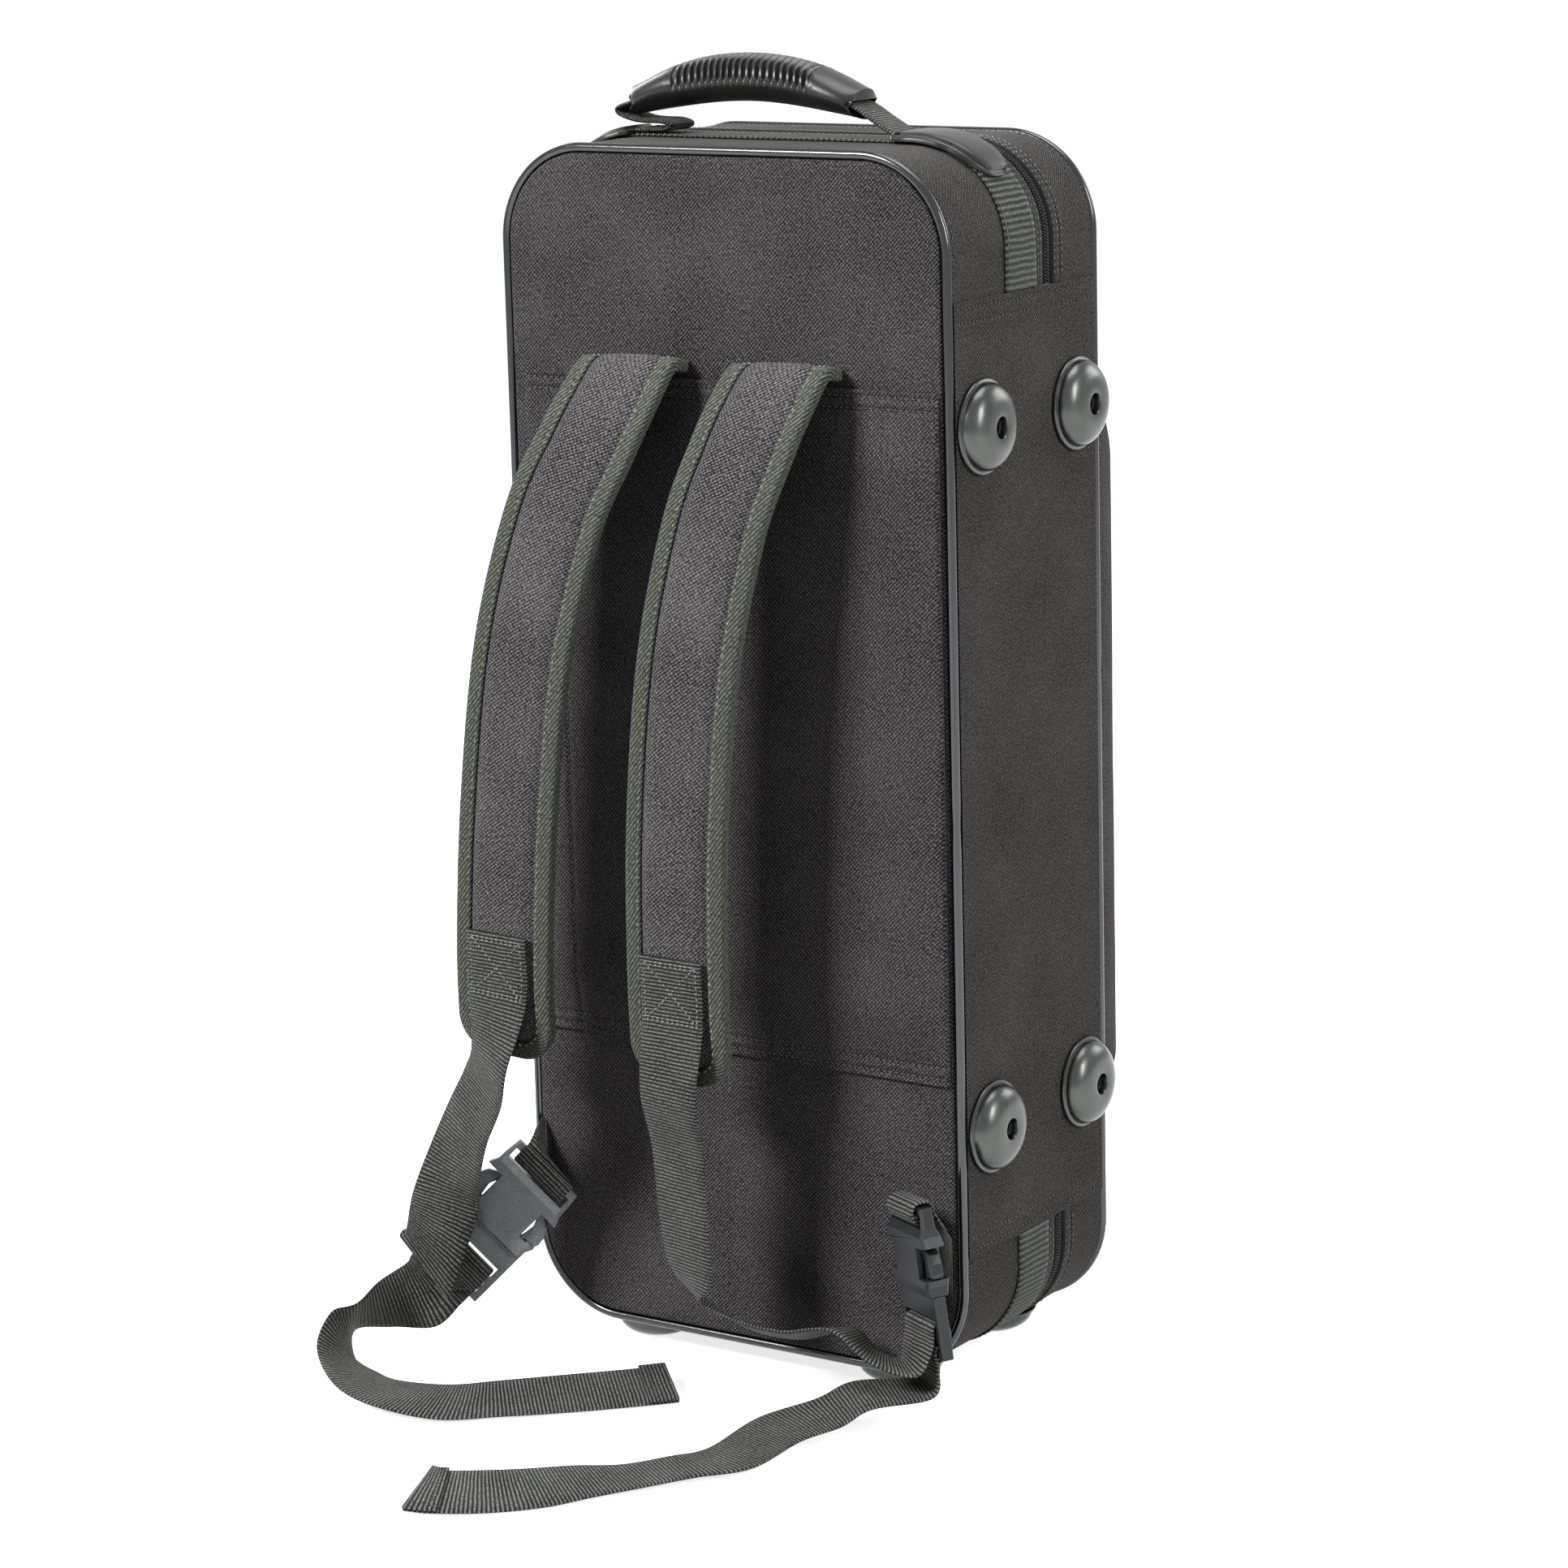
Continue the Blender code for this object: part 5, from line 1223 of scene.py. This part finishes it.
def webbing_frames(side, matrix, steps):
    """From the pad to the ladder, with the folds and creases, and round its middle bar."""
    points = [in_case(s) for s in webbing_routes_shares[side]]
    widths = [Vector(a).normalized() for a in webbing_acrosses[side]]
    pairs = pairs_about(points, widths)
    for edges in fold_edges_shares[side]:
        pairs.append([
            matrix @ Vector((sideways * fold_r, -ahead * fold_r, -male_len - below * fold_r))
            for sideways, ahead, below in edges
        ])
    for first, second in crease_edges_shares[side]:
        pairs.append((in_case(first), in_case(second)))
    wrap = ladder_near * bar_wrap_share
    pairs += pairs_about(*threaded(matrix, (
        (ladder_far, outer_slot_z - ladder_turn), (ladder_near, middle_bar_z),
        (ladder_near, middle_bar_z + ladder_turn), (wrap, inner_slot_z - gap),
        (gap / 2, inner_slot_z + gap),
    )))
    return pair_frames(pairs, steps)


def tail_frames(side, matrix, steps):
    """From the ladder's middle bar round the outer one and down to the floor."""
    wrap = ladder_near * bar_wrap_share
    points, widths = threaded(matrix, (
        (-gap / 2, inner_slot_z + gap), (-wrap, inner_slot_z - gap),
        (-ladder_near, middle_bar_z + ladder_turn), (-ladder_near, middle_bar_z - ladder_turn),
        (-wrap, outer_slot_z + 2 * gap), (0, outer_slot_z),
        (wrap, outer_slot_z - 2 * gap), (ladder_near, ladder_bar - male_len - gap),
        (ladder_near, -male_len), (ladder_near, -male_len - fold_r),
        (ladder_near + fold_r * tail_lift_share, -male_len - fold_r * tail_drop_share),
    ))
    widths = [-width for width in widths]
    for x, y, up in tail_routes_shares[side]:
        points.append(Vector((x * case_w, y * case_d, floor_z + up * case_h)))
    widths += [Vector(a).normalized() for a in tail_acrosses[side]]
    return pair_frames(pairs_about(points, widths), steps)


def hem(name, frames, long, body):
    """The folded and sewn end of a webbing."""
    end = []
    left = long
    for a, b in zip(reversed(frames), list(reversed(frames))[1:]):
        end.append(a)
        left -= (a[0] - b[0]).length
        if left <= 0:
            end.append(b)
            break
    rows = [(p + n * (webbing_t * 0.95), a, t, n) for p, a, t, n in end]
    part = ribbon(name, rows, webbing_w * 1.015, webbing_t * 1.15, m_web)
    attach(part, body)
    place, across, along, normal = end[-1]
    up = normal * (webbing_t * 1.55)
    reach = across * (webbing_w * 0.46)
    dashes = []
    for row in (1, 1.6):
        shift = along * 0.0022 * row
        dashes += line_dashes(place - reach + up + shift, place + reach + up + shift, normal, 0.003)
    stitches = sew(name + "_stitches", dashes, body, long=0.0026, wide=0.0009, high=0.0005)
    return [part, stitches]


def crossed_box(side, frames):
    """Stitches of the crossed box that holds the webbing on its pad."""
    runs = lengths([f[0] for f in frames])
    near, far, x, double = 0.003, 0.0345, webbing_w / 2 - 0.003, 0.0016
    lines = (((near, -x), (near, x)), ((far, -x), (far, x)), ((near, -x), (far, -x)),
             ((near, x), (far, x)), ((near, -x), (far, x)), ((near, x), (far, -x)),
             ((near + double, -x), (near + double, x)), ((far - double, -x), (far - double, x)))
    dashes = []
    for (r0, a), (r1, b) in lines:
        points = []
        normals = []
        for k in range(13):
            t = k / 12
            place, across, _, normal = frame_at(frames, runs, r0 + (r1 - r0) * t)
            if normal.y >= 0:
                normal = -normal
            points.append(place + across * (a + (b - a) * t) + normal * (webbing_t / 2 + 0.0001))
            normals.append(normal)
        dashes += dashes_on(points, normals, 0.0031)
    sew("crossed_box_" + side, dashes, "case_base", m_thread_light, long=0.0026, wide=0.0010,
        high=0.0007)


def anchor(side, matrix):
    """Webbing from the case's seam, through the slot of the buckle's housing and back."""
    socket_w, socket_t, bar_low = 0.034, 0.0075, female_len - ladder_bar
    bar_z, slot_z = female_len - ladder_bar / 2, bar_low - ladder_slot / 2
    off = socket_t / 2 + webbing_t / 2 + 4 * gap
    over = female_len + webbing_t / 2 + 2 * gap
    down = [(off, bar_low), (off * 0.7, slot_z - 2 * gap), (0, slot_z - 6 * gap)]
    down += [(-y, z) for y, z in reversed(down[:-1])]
    if side == "left":
        loop = [(off, over)] + down + [(-off, over - webbing_t), (-off * 0.5, over)]
    else:
        loop = [(off, bar_low), (off, bar_z), (off * 0.72, over), (0, over + webbing_t / 2)]
        loop += [(-off * 0.72, over), (-off, bar_z)] + down[::-1][:3]
    half = Vector((socket_w / 2, 0, 0))
    edges = [(in_case(a), in_case(b)) for a, b in anchor_edges_shares[side]]
    for y, z in loop:
        spot = Vector((0, y, z))
        edges.append((matrix @ (spot - half), matrix @ (spot + half)))
    rows = []
    middle = []
    cuts = (0.02, 0.25, 0.5, 0.75, 0.98)
    for a, b, along in smoothed_edges(edges, 6):
        up = (b - a).cross(along).normalized() * (webbing_t / 2)
        top = [a.lerp(b, t) - up for t in cuts]
        low = [a.lerp(b, t) + up for t in reversed(cuts)]
        rows.append(top + [b] + low + [a])
        middle.append((a + b) / 2)
    us = lengths(middle)
    vs = [socket_w * t for t in (0, 0.25, 0.5, 0.75, 1, 1.02, 1.02, 1.25, 1.5, 1.75, 2, 2.02, 2.02)]
    made = surface("anchor_strap_" + side, rows, us, vs, m_web, ring=True, caps=True, smooth=60)
    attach(made, "case_base")
    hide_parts("anchor_webbing_" + side)


follow_from = {
    "left": {"web": ((-0.13, -0.14, 0.20), (-0.13, -0.14, 0.10)),
             "tail": ((-0.147, -0.214, -0.006), (-0.179, -0.160, 0.019))},
    "right": {"web": ((0.012, -0.12, 0.03), (0.080, -0.105, 0.03)),
              "tail": ((0.095, -0.142, 0.001), (0.114, -0.114, 0.011))},
}


def straps():
    """Straps, webbings and buckles."""
    sleeve()
    for side in ("left", "right"):
        strap_pad(side)
        matrix = buckle_frame(side)
        frames = webbing_frames(side, matrix, 8)
        made = ribbon("strap_web_" + side, frames, webbing_w, webbing_t, m_web)
        start, end = follow_from[side]["web"]
        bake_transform(made)
        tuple(start)
        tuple(end)
        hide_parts("strap_webbing_" + side)
        run = lengths([f[0] for f in frames])[-1]
        crossed_box(side, frames)
        frames = tail_frames(side, matrix, 8)
        made = ribbon("strap_end_" + side, frames, webbing_w, webbing_t, m_web)
        start, end = follow_from[side]["tail"]
        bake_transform(made)
        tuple(start)
        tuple(end)
        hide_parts("strap_tail_" + side)
        parts = hem("strap_end_hem_" + side, frames, 0.013, "case_base")
        run = lengths([f[0] for f in frames])[-1]
        anchor(side, matrix)
        # The left buckle takes the plastic with painted sheen; the right one its plain dark
        # plastic.
        finish = m_buckle_painted_sheen if side == "left" else m_buckle_dark
        cad_look("buckle_female_" + side, finish, 0.0007, 3, 30)
        cad_look("buckle_male_" + side, finish, 0.0005, 3, 30)
        for hand in ("left", "right"):
            cad_look("buckle_arm_%s_%s" % (side, hand), finish, 0.0007, 3, 30)


# ---------------------------------------------------------------- handles

def rim_point(run):
    """A place and its normal at a run round the case from the middle of its top."""
    flat = half_w - corner_r
    turn = corner_r * math.pi / 2
    sign = -1 if run > 0 else 1
    far = abs(run)
    if far <= flat:
        return Vector((sign * far, 0, case_h)), Vector((0, 0, 1))
    if far <= flat + turn:
        angle = (far - flat) / corner_r
        normal = Vector((sign * math.sin(angle), 0, math.cos(angle)))
        centre = Vector((sign * flat, 0, case_h - corner_r))
        return centre + normal * corner_r, normal
    drop = far - flat - turn
    return Vector((sign * half_w, 0, case_h - corner_r - drop)), Vector((sign, 0, 0))


def share_at(table, x, column):
    """A column of a table of rows that start with x, eased between its rows."""
    for a, b in zip(table, table[1:]):
        if x <= b[0]:
            return a[column] + (b[column] - a[column]) * ease((x - a[0]) / (b[0] - a[0]))
    return table[-1][column]


def handle_pad(name, node, run, step):
    """A moulded pad: an island with a groove round it, tapering to a flat tongue."""
    taper = ((0, 0.80, 0.75), (0.06, 0.93, 1), (0.20, 1, 1), (0.34, 0.99, 1), (0.47, 0.96, 1),
             (0.60, 0.88, 1), (0.72, 0.76, 1), (0.83, 0.60, 0.95), (0.93, 0.38, 0.8),
             (0.985, 0.16, 0.45))
    face = [(-1, 0.30), (-0.975, 0.52), (-0.93, 0.66), (-0.88, 0.66), (-0.84, 0.55),
            (-0.805, 0.40), (-0.78, 0.40), (-0.755, 0.62), (-0.72, 0.90), (-0.67, 1.0),
            (-0.4, 1.04), (0, 1.06)]
    face += [(-share, up) for share, up in reversed(face[:-1])]
    tongue_from, flat_end, shallow_end = 0.6, 0.045, 0.075
    stations = [0, 0.012, 0.03, flat_end] + [0.06 + 0.03 * k for k in range(29)]
    stations += [0.92, 0.94, 0.955, 0.97, 0.98, 0.985]
    rows = []
    for far in stations:
        wide = share_at(taper, far, 1)
        if far > tongue_from:
            wide = 0.88 * math.sqrt(max(1 - ((far - tongue_from) / 0.392) ** 2.1, 0.03))
        thick = share_at(taper, far, 2)
        place, normal = rim_point(run + step * far * pad_len)
        tall = pad_end_t + (pad_island_t - pad_end_t) * thick
        across = Vector((0, pad_half_w * wide, 0))
        seat = place + normal * pad_seat + Vector((0, handle_y, 0))
        row = []
        for share, up in face:
            if far < flat_end or far > 1 - flat_end:
                up = min(up, 0.5)
            elif (far < shallow_end or far > 1 - shallow_end) and abs(share) < 0.85:
                up = 0.40
            row.append(seat + normal * (tall * up) + across * share)
        row += [seat + across - normal * 0.0002, seat - across - normal * 0.0002]
        rows.append(row)
    us = [pad_len * s for s in stations]
    vs = [0.002 * k for k in range(len(rows[0]) + 1)]
    obj = surface(name, rows, us, vs, m_rubber, ring=True, caps=True, smooth=50)
    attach(obj, "case_base")
    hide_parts(node)


def grip_middle(x):
    share = 1 - (2 * x / grip_len) ** 2
    return grip_end_up + (grip_mid_up - grip_end_up) * share


def grip(name, node, matrix, body):
    """The moulded grip with crescent ribs above and flared lips at its ends."""
    half, sides, waist_to, bore_turn = grip_len / 2, 44, 0.72, 1.35

    def sizes(x):
        far = min(abs(x) / half, 1)
        tall = grip_end_tall + (grip_tall - grip_end_tall) * (1 - far ** 3)
        flare = 0.92 + 0.08 * math.cos(math.pi * min(far / waist_to, 1)) ** 2
        if far > waist_to:
            flare = 1 - 0.16 * ((far - waist_to) / 0.28) ** 2
        return grip_wide / 2 * flare, tall / 2

    def cuff(far):
        """How far into the flared cuff a share of the half length is."""
        return max(far - 0.84, 0) / 0.16

    pitch = rib_zone / rib_count
    zone = rib_zone / 2
    ends = [half * far for far in (1, 0.992, 0.975, 0.95, 0.9, 0.84, 0.78, waist_to, 0.67)]
    stations = [-x for x in ends]
    for k in range(rib_count):
        for share in (0.0, 0.14, 0.24, 0.34, 0.50, 0.66, 0.76, 0.86):
            stations.append(-zone + (k + share) * pitch)
    stations += [zone] + ends[::-1]
    rows = []
    for x in stations:
        wide, tall = sizes(x)
        phase = ((x + zone) / pitch) % 1.0
        inside = -zone < x < zone
        groove = max(0.0, math.cos((phase - 0.5) * math.pi * 1.5)) ** 0.7 if inside else 0.0
        fade = clamp((zone - abs(x)) / pitch)
        tip = cuff(abs(x) / half)
        row = []
        for k in range(sides):
            angle = 2 * math.pi * (k + 0.5) / sides
            across = math.cos(angle)
            up = math.sin(angle)
            notch = 1.35 * rib_deep * groove * clamp((up + 0.12) / 0.20) * (0.55 + 0.45 * fade)
            lean = pitch * 0.9 * across * across if inside else 0
            lip = tip ** 2 * (0.0018 if up > 0 else -0.0004) * abs(up)
            reach = -tip ** 3 * 0.006 * (1 - abs(up)) * (1 if x > 0 else -1)
            row.append(matrix @ Vector((
                x + lean + reach, (wide - notch) * across,
                grip_middle(x) - axis_up + (tall - notch) * up + lip,
            )))
        rows.append(row)
    inner = []
    for share in (0.995, 0.96, 0.85, 0.6, 0.3, 0, -0.3, -0.6, -0.85, -0.96, -0.995):
        x = half * share
        far = abs(share)
        grow = 1 + 1.1 * max(far - 0.93, 0) / 0.065 * 0.35
        row = []
        for k in range(sides):
            angle = 2 * math.pi * (k + 0.5) / sides
            across = max(min(bore_turn * math.cos(angle), 1), -1)
            up = max(min(bore_turn * math.sin(angle), 1), -1)
            reach = -cuff(far) * 0.004 * (1 - abs(math.sin(angle)))
            row.append(matrix @ Vector((
                x + reach * (1 if x > 0 else -1), bore_wide / 2 * across,
                grip_middle(x) - axis_up - bore_drop + bore_tall / 2 * up * grow,
            )))
        inner.append(row)
    everything = rows + inner
    us = lengths([row[0] for row in everything + [everything[0]]])
    vs = [0.0022 * k for k in range(sides + 1)]
    obj = surface(name, everything, us, vs, m_rubber, ring=True, loop=True, smooth=55)
    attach(obj, body)
    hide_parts(node)


slack_end_shares = ((-0.986, 0.060, 0), (-0.870, 0.066, 0), (-0.760, 0.080, 0),
                    (-0.705, 0.150, 0.1), (-0.780, 0.215, 0.2), (-0.900, 0.222, 0.3),
                    (-1.000, 0.245, 0.45), (-1.115, 0.340, 0.85), (-1.125, 0.440, 1))
taut_end_shares = ((0.845, 0.300, 0.7), (0.986, 0.092, 0))
bore_shares = (-0.97, -0.8, -0.6, -0.4, -0.2, 0, 0.2, 0.4, 0.6, 0.8, 0.97)


def handle(name, body, run, step, lean, ends):
    """Two pads, the grip and its webbing, slack at one end and taut at the other."""
    for end, way in zip(ends, (step, -step)):
        handle_pad("%s_end_%s" % (name, end), "%s_pad_%s" % (name, end), run + way * pad_start,
                   way)
    place, normal = rim_point(run)
    centre = place + Vector((0, handle_y, 0)) + normal * axis_up
    along = place - rim_point(run + step * corner_r / 6)[0]
    along.normalize()
    side = normal.cross(along)
    turn = Matrix((along, side, normal)).transposed().to_4x4()
    base = Matrix.Translation(centre) @ turn
    spots = [(far * pad_start, up * grip_mid_up, swing) for far, up, swing in slack_end_shares]
    for share in bore_shares:
        x = share * grip_len / 2
        spots.append((x - grip_shift, grip_middle(x) - bore_drop, 1))
    spots += [(far * pad_start, up * grip_mid_up, swing) for far, up, swing in taut_end_shares]
    swung = base @ Matrix.Rotation(math.radians(lean), 4, "X")
    grip(name + "_sleeve", name + "_grip", swung @ Matrix.Translation((-grip_shift, 0, 0)), body)
    route = []
    acrosses = []
    for x, up, swing in spots:
        turned_by = base @ Matrix.Rotation(math.radians(lean * swing), 4, "X")
        route.append(turned_by @ Vector((x, 0, up - axis_up)))
        acrosses.append(turned_by.to_3x3() @ Vector((0, 1, 0)))
    frames = frames_along(smooth_route(route, 5), smooth_route(acrosses, 5))
    middle = 5 * (len(slack_end_shares) + bore_shares.index(0))
    slack_foot, slack_head = slack_end_shares[2], slack_end_shares[-1]
    taut_foot, taut_head = taut_end_shares[1], taut_end_shares[0]
    for tag, some, foot, head in (("slack", frames[:middle + 1], slack_foot, slack_head),
                                  ("taut", frames[middle:], taut_foot, taut_head)):
        far = head[0] if tag == "taut" else foot[0]
        end = swung @ Vector((far * pad_start, 0, head[1] * grip_mid_up - axis_up))
        made = ribbon("%s_web_%s" % (name, tag), some, carry_w, carry_t, m_carry)
        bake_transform(made)
        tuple(end)
        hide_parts(name + "_webbing")
        lengths([f[0] for f in some])[-1]


def handles():
    """The top handle, a little off the middle, and the side handle, which leans down."""
    top_run, side_z, side_lean = 0.010, 0.320, -12
    side_run = half_w - corner_r + corner_r * math.pi / 2 + (case_h - corner_r - side_z)
    handle("top_handle", "top_handle", top_run, 1, 0, ("left", "right"))
    handle("side_handle", "side_handle", side_run, -1, side_lean, ("upper", "lower"))


# ---------------------------------------------------------------- inside and small parts

def softened(name, node, material, voxel, smooth_times, body):
    """A plush-covered copy of a padded solid with soft edges."""
    obj = link(name, nodes[node].data.copy())
    remesh = obj.modifiers.new("voxels", "REMESH")
    remesh.mode = "VOXEL"
    remesh.voxel_size = voxel
    relax = obj.modifiers.new("soften", "SMOOTH")
    relax.factor = 0.5
    relax.iterations = smooth_times
    graph = bpy.context.evaluated_depsgraph_get()
    made = bpy.data.meshes.new_from_object(obj.evaluated_get(graph))
    obj.modifiers.clear()
    obj.data = made
    made.materials.clear()
    made.materials.append(material)
    made.shade_smooth()
    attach(obj, body)
    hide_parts(node)


def inside():
    """Plush, wall linings, the shells' edges and the sliders with their pulls."""
    softened("insert_plush", "fitted_insert", m_plush, 0.003, 3, "case_base")
    softened("lid_plush", "lid_padding", m_plush, 0.003, 4, "lid")
    for name, body, profile in (
        ("base_wall_lining", "case_base", [(0.01262, -0.0630), (0.01262, 0.0225),
                                           (0.0125, 0.0232), (0.0118, 0.02355)]),
        ("lid_wall_lining", "lid", [(0.01262, 0.0640), (0.01262, 0.0250),
                                    (0.0125, 0.0243), (0.0118, 0.02405)]),
    ):
        made = wrap(name, profile, m_plush, body)
    for name in ("base_shell", "lid_shell"):
        cad_look(name, m_board)
    for name in ("zip_slider_upper", "zip_slider_lower", "pocket_slider", "zip_pull_upper",
                 "zip_pull_lower", "pocket_pull"):
        cad_look(name, m_metal, 0.0003, 2, 35)


camera()
light_and_floor()
fabric_body()
hinge_panel()
feet()
pocket()
seams()
straps()
handles()
inside()
